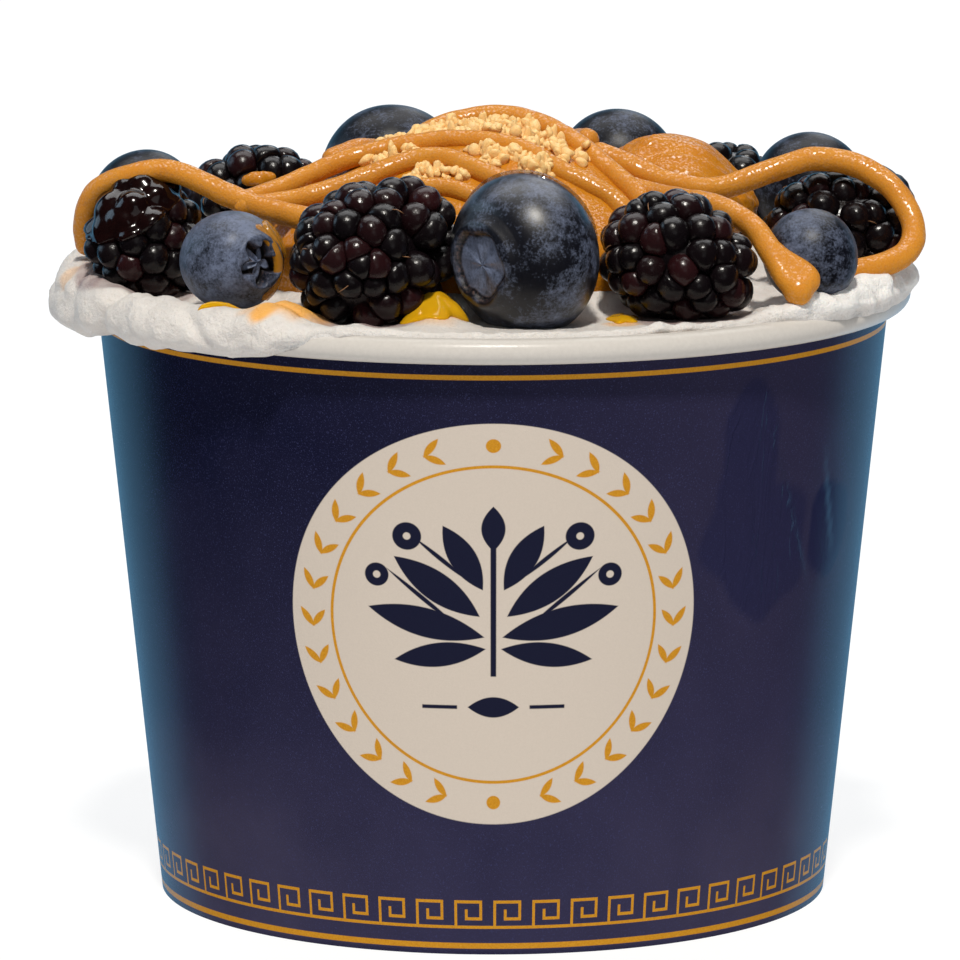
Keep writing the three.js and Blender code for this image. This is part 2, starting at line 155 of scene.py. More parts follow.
ROPES = [  # radius and route
    (1.3, [(-46.0, -5.5, 74.3), (-46.3, -8.5, 78.2), (-44.6, -11.5, 82.3), (-40.6, -14, 84.4),
           (-36.3, -14.5, 84.8), (-27.8, -18, 81.8), (-20.7, -22, 80.5), (-16, -21, 80)]),
    (1.2, [(-29.3, -18, 81.5), (-23.1, -12, 82.9), (-16.7, -8.5, 85.3), (-10.2, -8, 86.8),
           (-3.7, -9, 87.6), (2.7, -11, 87), (8, -14.5, 84.6), (13.4, -16.5, 81.9),
           (15.8, -18.6, 79.4), (17.2, -20.6, 77)]),
    (1.25, [(-28.9, -19, 81.3), (-20.9, -15, 81.9), (-14.5, -14, 83.9), (-8.8, -13, 85.9),
            (-5.4, -13.7, 86.1), (-0.5, -17, 84.7), (3.6, -19.6, 83.2)]),
    (1.15, [(-12.1, -18, 82.7), (-5.9, -18.3, 83.5), (-1.5, -20.2, 82.6)]),
    (1.25, [(-10.1, -6, 86.2), (-7.1, -1.5, 87.7), (-3.8, 0, 88.7), (0.8, 0, 89.2),
            (4.2, -1, 88.7), (9.2, -5.4, 86.9), (13.4, -11, 84.2), (16.2, -14, 82),
            (18.2, -16.6, 79.8), (19.6, -18.6, 77.6)]),
    (1.35, [(10.9, -5, 86), (15.6, -6.8, 84.3), (19.8, -8.5, 82.7), (25.2, -10, 82.2),
            (31.8, -9, 84.2), (36.4, -7.8, 85.3), (41.5, -8, 84.4), (45.1, -9.8, 82.2),
            (47.4, -12.5, 78.3), (46.7, -15, 75.9), (44, -17.5, 74.7), (40.9, -18.9, 74.2),
            (37.6, -18.4, 73.8)]),
    (1.4, [(14.6, -11.2, 82.8), (17.7, -13.5, 82.1), (20.8, -17.3, 82), (24.6, -21.2, 81.9),
           (28.9, -25.5, 80.1), (30.9, -28.6, 77.5), (32.5, -30.8, 75.1), (34, -31.6, 73.7)]),
    (1.45, [(30.4, -27.6, 78.3), (31.6, -28.8, 77), (33.4, -29.4, 76), (34.9, -30.7, 74.9),
            (34.3, -31.6, 73.8)]),
    (1.35, on_heap((10.9, -4), (9.5, 8), (4, 14.5), (-4, 16.5), (-11, 14), (-15, 6), (-19, 0))),
    (1.4, on_heap((-22, 8), (-15, 15), (-8, 20), (2, 21), (10, 18.5), (17, 11))),
]


# Mesh helpers

def smooth_step(value, low, high):
    share = np.clip((np.asarray(value, float) - low) / (high - low), 0, 1)
    return share * share * (3 - 2 * share)


def blend(first, second, share):
    return first + (second - first) * share


CELL_HASH = np.array([73856093, 19349663, 83492791])  # spreads the cells of a grid over a table


def swells(points, size, seed):
    """Smooth random values from -1 to 1 over points, in swells about size across."""
    table = np.random.default_rng(seed).uniform(-1, 1, 4096)
    spot = np.asarray(points, float) / size
    cell = np.floor(spot).astype(np.int64)
    share = smooth_step(spot - cell, 0, 1)
    total = np.zeros(len(spot))
    for corner in np.ndindex(2, 2, 2):
        weight = np.prod(np.where(np.array(corner, bool), share, 1 - share), axis=1)
        total += weight * table[(cell + corner) @ CELL_HASH % len(table)]
    return total


def full_turn(steps, start=0.0):
    return np.linspace(start, start + 2 * math.pi, steps, endpoint=False)


def stacked(*columns):
    """Points from their coordinates, which are spread over each other's shapes."""
    return np.stack(np.broadcast_arrays(*columns), axis=-1)


def round_axis(radius, heights, turn):
    """Points round the axis, at turns from the front."""
    return stacked(radius * np.sin(turn), -radius * np.cos(turn), heights).reshape(-1, 3)


def lengths(vectors):
    return np.linalg.norm(vectors, axis=-1)


def unit(vectors):
    vectors = np.asarray(vectors, float)
    return vectors / np.maximum(lengths(vectors), 1e-9)[..., None]


def turned_towards(direction):
    """The rotation that takes +Z to a direction, as the solids' berries are turned."""
    turn = Vector((0, 0, 1)).rotation_difference(Vector(direction).normalized())
    return np.array(turn.to_matrix())


def placed(points, direction, at):
    """Points made about +Z, turned so that it takes a direction, and moved."""
    return points @ turned_towards(direction).T + at


def ring_faces(rows, columns, closed=False):
    """Quads between rows of points, each row a ring. If closed, the last row also meets the first."""
    row, column = np.meshgrid(np.arange(rows - 1 + closed), np.arange(columns), indexing="ij")
    nearby, above = (column + 1) % columns, (row + 1) % rows
    quads = stacked(row * columns + column, row * columns + nearby,
                    above * columns + nearby, above * columns + column)
    return quads.reshape(-1, 4)


def ball(steps, rings):
    """A round ball about +Z, with a ring of points at each height and one at each pole."""
    angle = full_turn(steps)
    height = np.linspace(0, math.pi, rings + 2)[1:-1, None]
    points = stacked(np.sin(height) * np.cos(angle), np.sin(height) * np.sin(angle), np.cos(height))
    return capped_rings(points.reshape(-1, 3), rings, steps, (0, 0, 1), (0, 0, -1))


def capped_rings(points, rows, columns, start, end):
    """Rings of points closed by a point at either end."""
    count = len(points)
    faces = ring_faces(rows, columns).tolist()
    last = (rows - 1) * columns
    for i in range(columns):
        j = (i + 1) % columns
        faces.append([count, j, i])
        faces.append([count + 1, last + i, last + j])
    return np.vstack([points, start, end]), faces


def joined(parts):
    """One mesh from several."""
    points, faces, first = [], [], 0
    for part_points, part_faces in parts:
        points.append(part_points)
        faces.extend([[corner + first for corner in face] for face in part_faces])
        first += len(part_points)
    return np.vstack(points), faces


def mesh_of(name, points, faces):
    mesh = bpy.data.meshes.new(name)
    mesh.from_pydata(points, [], faces)
    return mesh


def linked(name, data):
    """An object that brings data into the scene."""
    made = bpy.data.objects.new(name, data)
    bpy.context.collection.objects.link(made)
    return made


def fused(parts, voxel, rounds):
    """One smoothed skin round closed parts that run into each other."""
    mesh = mesh_of("fusing", *joined(parts))
    scratch = linked("fusing", mesh)
    remesh = scratch.modifiers.new("remesh", "REMESH")
    remesh.mode = "VOXEL"
    remesh.voxel_size = voxel
    smoothing = scratch.modifiers.new("smoothing", "SMOOTH")
    smoothing.factor = 0.5
    smoothing.iterations = rounds
    seen = scratch.evaluated_get(bpy.context.evaluated_depsgraph_get()).to_mesh()
    skin = np.empty(len(seen.vertices) * 3)
    seen.vertices.foreach_get("co", skin)
    corners = np.empty(len(seen.loops), np.int64)
    seen.loops.foreach_get("vertex_index", corners)
    bpy.data.objects.remove(scratch)
    bpy.data.meshes.remove(mesh)
    return skin.reshape(-1, 3), corners.reshape(-1, 4)


def normals_of(points, faces):
    """The outward directions at the points of a mesh of quads."""
    quads = np.asarray(faces)
    a, b, c, d = (points[quads[:, corner]] for corner in range(4))
    facing = np.cross(c - a, d - b)
    total = np.zeros_like(points)
    for corner in range(4):
        np.add.at(total, quads[:, corner], facing)
    return unit(total)


def piece(name, points, faces, finish, slot, nodes=(), **marks):
    """A mesh that rides on the cup. Marks are values on its points that its finish reads."""
    mesh = mesh_of(name, np.asarray(points) * MM, faces)
    mesh.shade_smooth()
    mesh.materials.append(finish)
    for mark, values in marks.items():
        mesh.attributes.new(mark, "FLOAT", "POINT").data.foreach_set("value", np.asarray(values, float))
    made = linked(name, mesh)
    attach(made, BODY)
    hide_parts(*nodes)


# Shader helpers

class Value:
    """A shader socket. Arithmetic on it adds Math nodes."""

    def __init__(self, finish, socket):
        self.finish = finish
        self.socket = socket

    def out(self, name):
        return Value(self.finish, self.socket.node.outputs[name])

    def math(self, operation, *others):
        return self.finish.maths(operation, self, *others)

    def __add__(self, other):
        return self.math("ADD", other)

    def __sub__(self, other):
        return self.math("SUBTRACT", other)

    def __rsub__(self, other):
        return self.finish.maths("SUBTRACT", other, self)

    def __mul__(self, other):
        return self.math("MULTIPLY", other)

    def __truediv__(self, other):
        return self.math("DIVIDE", other)

    def __or__(self, other):
        """The larger of two values, which joins two masks."""
        return self.math("MAXIMUM", other)

    def __neg__(self):
        return self.math("MULTIPLY", -1.0)

    def __abs__(self):
        return self.math("ABSOLUTE")

    __radd__ = __add__
    __rmul__ = __mul__

    def clamped(self):
        return self.math("MINIMUM", 1.0).math("MAXIMUM", 0.0)

    def below(self, edge, soft):
        """1 where the value lies under an edge, falling to 0 over a soft width."""
        return ((edge - self) / soft + 0.5).clamped()


class Finish:
    """A material in the making. Its place is the position on the object, in millimetres."""

    def __init__(self, name):
        self.material = bpy.data.materials.new(name)
        self.material.use_nodes = True
        self.tree = self.material.node_tree
        self.shader = self.tree.nodes["Principled BSDF"]
        where = self.node("TexCoord", out="Object")
        self.place = self.node("VectorMath", {"operation": "SCALE"}, {0: where, "Scale": 1 / MM})

    def node(self, kind, settings=None, sockets=None, out=0):
        """Adds a node: its type, its settings, then the values or links of its sockets."""
        made = self.tree.nodes.new("ShaderNode" + kind)
        for name, value in (settings or {}).items():
            setattr(made, name, value)
        for name, value in (sockets or {}).items():
            self.put(made.inputs[name], value)
        return Value(self, made.outputs[out])

    def put(self, socket, value):
        if isinstance(value, Value):
            self.tree.links.new(value.socket, socket)
        else:
            socket.default_value = value

    def maths(self, operation, *values):
        return self.node("Math", {"operation": operation}, dict(enumerate(values)))

    def mix(self, share, first, second):
        return self.node("Mix", {"data_type": "RGBA"}, {0: share, 6: first, 7: second}, out=2)

    def axes(self):
        split = self.node("SeparateXYZ", {}, {0: self.place})
        return split, split.out(1), split.out(2)

    def grain(self, size, detail=2.0, roughness=0.5, warp=0.0, place=None):
        """Noise from 0 to 1 with features about size millimetres across."""
        return self.node("TexNoise", {}, {
            "Vector": place or self.place,
            "Scale": 1 / size,
            "Detail": detail,
            "Roughness": roughness,
            "Distortion": warp,
        })

    def mark(self, name):
        return self.node("Attribute", {"attribute_name": name}, out="Fac")

    def bump(self, height, distance):
        """Height from 0 to 1 stands for a relief of distance millimetres."""
        return self.node("Bump", {}, {"Height": height, "Distance": distance * MM})

    def done(self, **sockets):
        """Sets the shader's sockets, with spaces in their names written as underscores."""
        for name, value in sockets.items():
            self.put(self.shader.inputs[name.replace("_", " ")], value)
        return self.material


def tone(red, green, blue):
    """A colour given as it looks on screen, from 0 to 255."""
    shares = [channel / 255 for channel in (red, green, blue)]
    linear = [((share + 0.055) / 1.055) ** 2.4 if share > 0.04 else share / 12.92 for share in shares]
    return (*linear, 1.0)


# Finishes

# Soft widths of the print's edges
INK_EDGE, GOLD_EDGE, LINE_EDGE = 0.12, 0.1, 0.08


def leaf(along, across, middle, angle, length, width):
    """1 inside a pointed leaf at a place on the disc, turned by an angle."""
    cos, sin = math.cos(math.radians(angle)), math.sin(math.radians(angle))
    x, y = across - middle[0], along - middle[1]
    run, side = x * sin + y * cos, x * cos - y * sin
    share = run / length
    return (abs(side) - (1.0 - share * share) * width).below(0.0, INK_EDGE)


SPRIG_LEAVES = [  # middle, slant, half length, half width; those beside the stem stand on either side
    ((0.0, 11.2), 0, 2.6, 1.3),
    ((3.3, 7.8), 30, 4.3, 1.5),
    ((6.2, 4.4), 54, 5.8, 1.7),
    ((7.5, 0.2), 76, 6.7, 1.7),
    ((6.0, -3.5), 98, 5.2, 1.4),
    ((0.0, -9.6), 90, 2.9, 1.2),
]
SPRIG_BARS = [  # middle and half sizes: the stem, and a line on either side of the foot
    ((0.0, 2.0), (0.32, 8.0)),
    ((6.1, -9.6), (2.0, 0.22)),
]
SPRIG_BERRIES = [((9.4, 10.2), 1.6), ((12.9, 5.6), 1.35)]
BERRY_EYE = 0.42
RING_RADIUS, RING_HALF_WIDTH = 18.4, 0.18
WREATH_RADIUS = 20.8
WREATH_LEAVES = 15  # pairs on either side
WREATH_DOT = 0.8


def from_spot(across, along, x, y):
    return ((across - x) * (across - x) + (along - y) * (along - y)).math("SQRT")


def disc_emblem(across, along, reach):
    """Masks of the navy sprig in the middle of the disc and the gold ring and wreath round it."""
    side = abs(across)
    navy = along * 0.0
    for one in SPRIG_LEAVES:
        navy |= leaf(along, side, *one)
    for (x, y), (half_x, half_y) in SPRIG_BARS:
        navy |= abs(side - x).below(half_x, INK_EDGE) * abs(along - y).below(half_y, INK_EDGE)
    for (x, y), size in SPRIG_BERRIES:
        distance = from_spot(side, along, x, y)
        navy |= distance.below(size, INK_EDGE) * (1.0 - distance.below(BERRY_EYE, INK_EDGE))
        navy |= leaf(along, side, (x * 0.6, y - 2.6), 50, x * 0.42, 0.26)
    angle = side.math("ARCTAN2", -along)
    sector = math.pi / WREATH_LEAVES
    count = (angle / sector).math("FLOOR")
    run = (angle - (count + 0.5) * sector) * WREATH_RADIUS
    gold = along * 0.0
    for turned in (-1, 1):
        gold |= leaf(run, reach - WREATH_RADIUS, (turned * 0.7, 0.0), turned * 38, 1.35, 0.42)
    gold = gold * abs(count - (WREATH_LEAVES - 1) / 2).below((WREATH_LEAVES - 2) / 2, GOLD_EDGE)
    gold |= from_spot(side, abs(along), 0.0, WREATH_RADIUS).below(WREATH_DOT, GOLD_EDGE)
    return navy, gold | abs(reach - RING_RADIUS).below(RING_HALF_WIDTH, GOLD_EDGE)


KEY_UNITS_WIDE, KEY_UNITS_HIGH = 7.0, 4.7
KEY_STROKES = [  # left, right, foot and top of a stroke, in units of the key
    (0, 7, 0, 0.5),
    (0, 0.5, 0, 4.7),
    (0, 5, 4.2, 4.7),
    (4.5, 5, 1.4, 4.7),
    (1.9, 5, 1.4, 1.9),
    (1.9, 2.4, 1.4, 3.2),
]


def key_border(turn, z):
    """The gold key border above the foot."""
    run = (turn / (2 * math.pi / KEY_COUNT)).math("FRACT") * KEY_UNITS_WIDE
    rise = (z - KEY_FOOT) / (KEY_HEIGHT / KEY_UNITS_HIGH)
    border = rise * 0.0
    for left, right, low, high in KEY_STROKES:
        box = abs(run - (left + right) / 2).below((right - left) / 2, LINE_EDGE)
        border |= box * abs(rise - (low + high) / 2).below((high - low) / 2, LINE_EDGE)
    return border


BOUNCE_LIGHT_BELOW, BOUNCE_LIGHT_OVER = 58.0, 56.0  # height below which painted bounce light from the floor pales the navy, and over what fall
# Painted haze of light on the navy, low down at the sides of the wall: below what height, and over what
# fall
HAZE_BELOW, HAZE_OVER = 24.0, 14.0
PRINT_TOP = RIM_HEIGHT - 1.35
WRINKLE_STRETCH = (1, 1, 0.16)
WRINKLED_SIDE = 0.9  # the damp paper wrinkles up to this turn, in radians from the front


def navy_ground(finish, turn, z, wide):
    """Navy print with painted light: painted lighter to one side and darker to the other, paled by painted
    bounce light towards the foot and by a painted haze low at the sides, with specks and damp.
    """
    # Painted light and shade: the navy is painted lighter towards one side of the wall and darker away
    # from it.
    side_shading = ((turn - LIGHTER_SIDE).math("COSINE") * 0.5 + 0.5).math("POWER", 3.0)
    navy = finish.mix((side_shading + (wide - 0.5) * 0.3).clamped(), tone(13, 16, 41), tone(44, 41, 66))
    # Painted bounce light from the floor: the navy is paled towards the foot.
    pale = finish.mix(wide, tone(41, 39, 64), tone(55, 52, 80))
    navy = finish.mix(((BOUNCE_LIGHT_BELOW - z) / BOUNCE_LIGHT_OVER).clamped(), navy, pale)
    # Painted haze of light: the navy is paler low down at the sides of the wall.
    edge_haze = ((HAZE_BELOW - z) / HAZE_OVER).clamped() * turn.math("SINE").math("POWER", 2.0)
    navy = finish.mix(edge_haze * (0.25 + 0.6 * wide), navy, tone(80, 74, 94))
    specks = ((finish.grain(0.16, 1.0) - 0.58) * 5.0).clamped()
    navy = finish.mix(specks * 0.5, navy, tone(64, 68, 112))
    return finish.mix(finish.mark("damp") * (0.35 + 0.6 * wide), navy, tone(22, 27, 60))


def printed_paper():
    finish = Finish("printed_paper")
    x, y, z = finish.axes()
    turn = x.math("ARCTAN2", -y)
    front = turn - (turn / math.pi).math("ROUND") * math.pi
    across, along = front * DISC_WALL, (z - DISC_HEIGHT) * DISC_STRETCH
    from_middle = from_spot(across, along, 0.0, 0.0)
    disc = from_middle.below(DISC_RADIUS, INK_EDGE)
    navy_sprig, gold_wreath = disc_emblem(across, along, from_middle)
    lines = key_border(turn, z)
    for height, width in GOLD_LINES:
        lines |= abs(z - height).below(width / 2, LINE_EDGE)
    fine = finish.grain(0.22, 2.0, 0.7)
    cream = finish.mix(fine * 0.6, tone(206, 193, 180), tone(190, 178, 165))
    gold = finish.mix(fine, tone(172, 110, 14), tone(214, 154, 38))
    ink = finish.mix(disc, navy_ground(finish, turn, z, finish.grain(9.0, 3.0)), cream)
    ink = finish.mix(disc * navy_sprig, ink, tone(26, 28, 50))
    ink = finish.mix(disc * gold_wreath | lines, ink, gold)
    bare = finish.mix(finish.grain(0.5, 3.0), tone(206, 200, 193), tone(194, 188, 181))
    outside = finish.mark("printed").math("GREATER_THAN", 0.5) * z.below(PRINT_TOP, 0.06)
    damp = finish.mark("damp")
    stretched = finish.node("VectorMath", {"operation": "MULTIPLY"}, {0: finish.place, 1: WRINKLE_STRETCH})
    wrinkles = 1.0 - (abs(finish.grain(2.2, 2.0, 0.5, 0.8, stretched) - 0.5) * 9.0).clamped()
    wrinkles = wrinkles * damp * turn.below(WRINKLED_SIDE, 0.1)
    return finish.done(
        Base_Color=finish.mix(outside, bare, ink),
        Roughness=0.2 + 0.1 * fine - 0.08 * damp,
        Normal=finish.bump(fine + disc * 0.5 + wrinkles * 5.0, 0.02),
        Specular_IOR_Level=0.2,
    )


def white_paper():
    finish = Finish("white_paper")
    fibre = finish.grain(0.4, 4.0, 0.6)
    colour = finish.mix(fibre, tone(240, 236, 229), tone(224, 219, 211))
    return finish.done(Base_Color=colour, Roughness=0.65, Normal=finish.bump(fibre, 0.03))


def thick_yogurt():
    finish = Finish("thick_yogurt")
    soft = finish.grain(2.6, 3.0)
    fine = finish.grain(0.5, 4.0, 0.7)
    colour = finish.mix(soft, tone(230, 224, 218), tone(217, 210, 204))
    # Painted light: the curds of the right-hand run are painted whiter, as if more brightly lit.
    colour = finish.mix(finish.mark("curd") * 0.8, colour, tone(248, 245, 241))
    colour = finish.mix(((0.46 - fine) * 4.0).clamped() * 0.35, colour, tone(196, 187, 180))
    stain = (finish.mark("juice") * (0.1 + 0.9 * soft)).clamped()
    colour = finish.mix(stain, colour, tone(112, 60, 64))
    colour = finish.mix(finish.mark("honey_tint"), colour, tone(246, 176, 74))
    return finish.done(
        Base_Color=colour,
        Roughness=0.48 + 0.2 * fine,
        Normal=finish.bump(fine + soft * 0.5, 0.36),
        Subsurface_Weight=0.2,
        Subsurface_Radius=(1.0, 0.8, 0.65),
        Subsurface_Scale=0.0008,
        Coat_Weight=0.03,
        Coat_Roughness=0.25,
    )


def bramble_skin():
    finish = Finish("bramble_skin")
    each = finish.node("NewGeometry", out="Random Per Island")
    cloud = finish.grain(1.6, 3.0)
    colour = finish.mix(each.math("POWER", 4.0), tone(8, 6, 8), tone(46, 16, 18))
    colour = finish.mix(cloud * 0.3, colour, tone(30, 20, 24))
    relief = finish.bump(finish.grain(0.5, 2.0), 0.05)
    return finish.done(
        Base_Color=colour,
        Roughness=0.14 + 0.24 * cloud,
        Normal=relief,
        Specular_IOR_Level=0.32,
    )


def dry_hair():
    finish = Finish("dry_hair")
    colour = finish.mix(finish.grain(0.4, 2.0), tone(150, 104, 60), tone(96, 60, 34))
    return finish.done(Base_Color=colour, Roughness=0.6)


def blueberry_skin():
    finish = Finish("blueberry_skin")
    wide = finish.grain(5.0, 4.0, 0.6, 0.4)
    mottle = finish.grain(1.1, 3.0, 0.6)
    fine = finish.grain(0.3, 3.0, 0.7)
    bloom = (wide - 0.5) * 1.9 + (mottle - 0.5) * 1.3 + (fine - 0.5) * 1.8
    bloom = (bloom + 0.42 + finish.mark("bloom")).clamped()
    colour = finish.mix(bloom, tone(12, 13, 22), tone(98, 107, 130))
    hollow = finish.mark("hollow")
    dry = ((fine - 0.5) * 4.0).clamped() * hollow * (1.0 - hollow) * 3.0
    # Painted shade: the crown's folds are painted near black, as shade in its recess.
    colour = finish.mix(hollow, colour, tone(6, 5, 8))
    colour = finish.mix(dry.clamped(), colour, tone(112, 80, 60))
    return finish.done(
        Base_Color=colour,
        Roughness=0.35 + 0.2 * bloom,
        Normal=finish.bump(fine, 0.03),
        Specular_IOR_Level=0.2,
        Coat_Weight=finish.mark("shine"),
        Coat_Roughness=0.36,
    )


def smooth_nut_butter():
    finish = Finish("smooth_nut_butter")
    fine = finish.grain(0.24, 2.0, 0.6)
    glints = finish.grain(0.3, 1.0, 0.5)
    wide = finish.grain(3.0, 2.0)
    smeared = finish.mix(wide, tone(185, 110, 14), tone(203, 134, 27))
    drizzled = finish.mix(wide, tone(196, 121, 33), tone(211, 144, 50))
    colour = finish.mix(finish.mark("strand"), smeared, drizzled)
    colour = finish.mix(((fine - 0.5) * 2.0).clamped() * 0.4, colour, tone(160, 84, 6))
    return finish.done(
        Base_Color=colour,
        Roughness=0.48 + 0.1 * fine,
        Normal=finish.bump(fine, 0.08),
        Specular_IOR_Level=0.1,
        Subsurface_Weight=0.06,
        Subsurface_Radius=(1.0, 0.55, 0.25),
        Subsurface_Scale=0.001,
        Coat_Weight=((glints - 0.5) * 8.0).clamped(),
        Coat_IOR=1.68,
        Coat_Roughness=0.28,
    )


def nut_flesh():
    finish = Finish("nut_flesh")
    wide = finish.grain(0.9, 3.0)
    fine = finish.grain(0.2, 2.0)
    colour = finish.mix(wide, tone(250, 212, 146), tone(240, 186, 110))
    return finish.done(
        Base_Color=colour,
        Roughness=0.5,
        Normal=finish.bump(fine, 0.07),
        Subsurface_Weight=0.15,
        Subsurface_Radius=(1.0, 0.7, 0.4),
        Subsurface_Scale=0.0008,
    )


def clear_honey():
    finish = Finish("clear_honey")
    colour = finish.mix(finish.grain(1.6, 2.0), tone(250, 196, 34), tone(238, 172, 14))
    return finish.done(Base_Color=colour, Roughness=0.05, IOR=1.42, Transmission_Weight=0.4)


def thin_honey():
    finish = Finish("thin_honey")
    cloud = finish.grain(1.6, 2.0)
    golden = finish.mix(cloud, tone(214, 150, 36), tone(184, 118, 22))
    brown = finish.mix(cloud, tone(104, 60, 20), tone(62, 34, 14))
    return finish.done(
        Base_Color=finish.mix(finish.mark("deep"), golden, brown),
        Roughness=0.08,
        Specular_IOR_Level=0.5,
        Alpha=0.6 - 0.14 * finish.mark("deep"),
    )


def dark_glaze():
    finish = Finish("dark_glaze")
    colour = finish.mix(finish.grain(1.6, 2.0), tone(30, 12, 11), tone(8, 4, 5))
    return finish.done(Base_Color=colour, Roughness=0.13, Specular_IOR_Level=0.5, Alpha=0.94)


# Pieces

def on_roll(degrees, distance):
    """Spots in the section, at a turn and a distance from the middle of the rim's roll."""
    angle = np.radians(degrees)
    return ROLL_MIDDLE + distance * stacked(np.cos(angle), np.sin(angle))


CREASES = [  # ends of a crease (degrees from the front, height), depth and width
    ((43, 60), (57, 39), 0.30, 4.5),
    ((38, 57), (47, 36), 0.16, 3.0),
    ((58, 55), (64, 42), 0.15, 3.0),
    ((30, 50), (41, 30), 0.10, 4.0),
]
DAMP = [  # damp patches: turn, height, half sizes, strength
    (41, 55, 6.5, 8.5, 0.6),
    (45, 45, 11, 8, 0.6),
    (62.5, 45, 7, 6.5, 1.0),
]


def wall_creases(degrees, heights):
    """Dents beside sharp lines in the damp paper of the wall."""
    total = np.zeros(np.broadcast(degrees, heights).shape)
    for (turn_a, high_a), (turn_b, high_b), depth, width in CREASES:
        arc = math.radians(1) * wall_radius(heights)
        along_x, along_z = (turn_b - turn_a) * arc, high_b - high_a
        length = np.sqrt(along_x ** 2 + along_z ** 2)
        x, z = (degrees - turn_a) * arc, heights - high_a
        run = (x * along_x + z * along_z) / length ** 2
        side = (x * along_z - z * along_x) / length
        reach = np.sin(np.clip(run, 0, 1) * math.pi) ** 0.7
        total -= depth * reach * np.exp(-np.abs(side) / width) * np.where(side < 0, 1.0, 0.35)
        total += 0.65 * depth * reach * np.exp(-np.abs(side) / 0.8) * np.where(side < 0, 0.0, 1.0)
    return total


def damp_patches(points, degrees, heights):
    """How damp the wall is, from 0 to 1."""
    damp = np.zeros(np.broadcast(degrees, heights).shape)
    ragged = 0.3 * swells(points, 5, 81).reshape(damp.shape)
    for at, high, half_turn, half_height, strength in DAMP:
        away = ((degrees - at) / half_turn) ** 2 + ((heights - high) / half_height) ** 2
        damp = np.maximum(damp, strength * (1 - smooth_step(np.sqrt(away) + ragged, 0.88, 1.0)))
    return damp.reshape(-1)


def cup_section():
    """The wall's section: up its outside, round the roll, down its inside and round the fold."""
    roll_start = -math.degrees(math.acos(PAPER / RIM_ROLL - 1))
    heights = np.linspace(0, RIM_HEIGHT - RIM_ROLL, WALL_ROWS)
    outer = stacked(wall_radius(heights), heights)
    roll = on_roll(np.linspace(roll_start, 180, 28), RIM_ROLL)
    inner_height = np.linspace(RIM_HEIGHT - 1, PAPER, 10)
    inner = stacked(wall_radius(inner_height) - PAPER, inner_height)
    fold_outer = wall_radius(0) - 2 * PAPER - 2 * GAP
    rise = WALL_TAPER * FOLD_HEIGHT
    fold = np.array([
        (fold_outer, PAPER),
        (fold_outer + rise, FOLD_HEIGHT),
        (fold_outer + rise - PAPER, FOLD_HEIGHT),
        (fold_outer - PAPER, 0),
    ])
    return np.vstack([outer, roll, inner, fold])


def cup_wall():
    section = cup_section()
    turn = full_turn(CUP_STEPS, -math.pi)
    degrees = np.degrees(turn)
    radius = np.repeat(section[:, :1], CUP_STEPS, axis=1)
    away = (degrees - SEAM_TURN) * math.radians(1) * FOOT_RADIUS
    lap = 1 - smooth_step(away, SEAM_WIDTH - SEAM_FADE, SEAM_WIDTH)
    lap *= smooth_step(away, -SEAM_STEP, SEAM_STEP)
    radius[: WALL_ROWS + SEAM_ROWS_ON_ROLL] += SEAM_RISE * lap
    radius[:WALL_ROWS] += wall_creases(degrees, section[:WALL_ROWS, 1:])
    points = round_axis(radius, section[:, 1:], turn)
    faces = ring_faces(len(section), CUP_STEPS, closed=True).tolist()
    printed = np.arange(len(points)) < WALL_ROWS * CUP_STEPS
    piece("cup_wall_print", points, faces, printed_paper(), "cup_print", ["cup_wall"],
          printed=printed, damp=damp_patches(points, degrees, section[:, 1:]))


def cup_base():
    skirt_foot = PAPER + GAP
    section = np.array([
        (fill_radius(BASE_HEIGHT) - PAPER - 1.2, BASE_HEIGHT),
        (fill_radius(BASE_HEIGHT) - PAPER - 0.3, BASE_HEIGHT - 0.3),
        (fill_radius(BASE_HEIGHT) - PAPER, BASE_HEIGHT - 1.2),
        (fill_radius(skirt_foot) - PAPER, skirt_foot),
        (fill_radius(skirt_foot), skirt_foot),
        (fill_radius(BASE_HEIGHT), BASE_HEIGHT),
        (fill_radius(BASE_HEIGHT + PAPER), BASE_HEIGHT + PAPER),
    ])
    points = round_axis(section[:, :1], section[:, 1:], full_turn(BASE_STEPS, -math.pi))
    points, faces = capped_rings(points, len(section), BASE_STEPS,
                                 (0, 0, BASE_HEIGHT), (0, 0, BASE_HEIGHT + PAPER))
    piece("cup_base_disc", points, faces, white_paper(), "cup_paper", ["cup_base"])


def yogurt_lip(degrees):
    """The lip in each direction: its edge on the roll, its thickness and the sag of its edge."""
    edge, thick, sag = (np.full(len(degrees), usual) for usual in (LIP_EDGE, LIP_THICK, 0.0))
    for at, spread, overflow_edge, overflow_thick, overflow_sag in OVERFLOWS:
        away = np.abs((degrees - at + 180) % 360 - 180)
        share = 1 - smooth_step(away, OVERFLOW_CORE * spread, spread)
        edge = np.minimum(edge, blend(LIP_EDGE, overflow_edge, share))
        thick = np.maximum(thick, blend(LIP_THICK, overflow_thick, share))
        sag = np.maximum(sag, overflow_sag * share)
    return edge, thick, sag


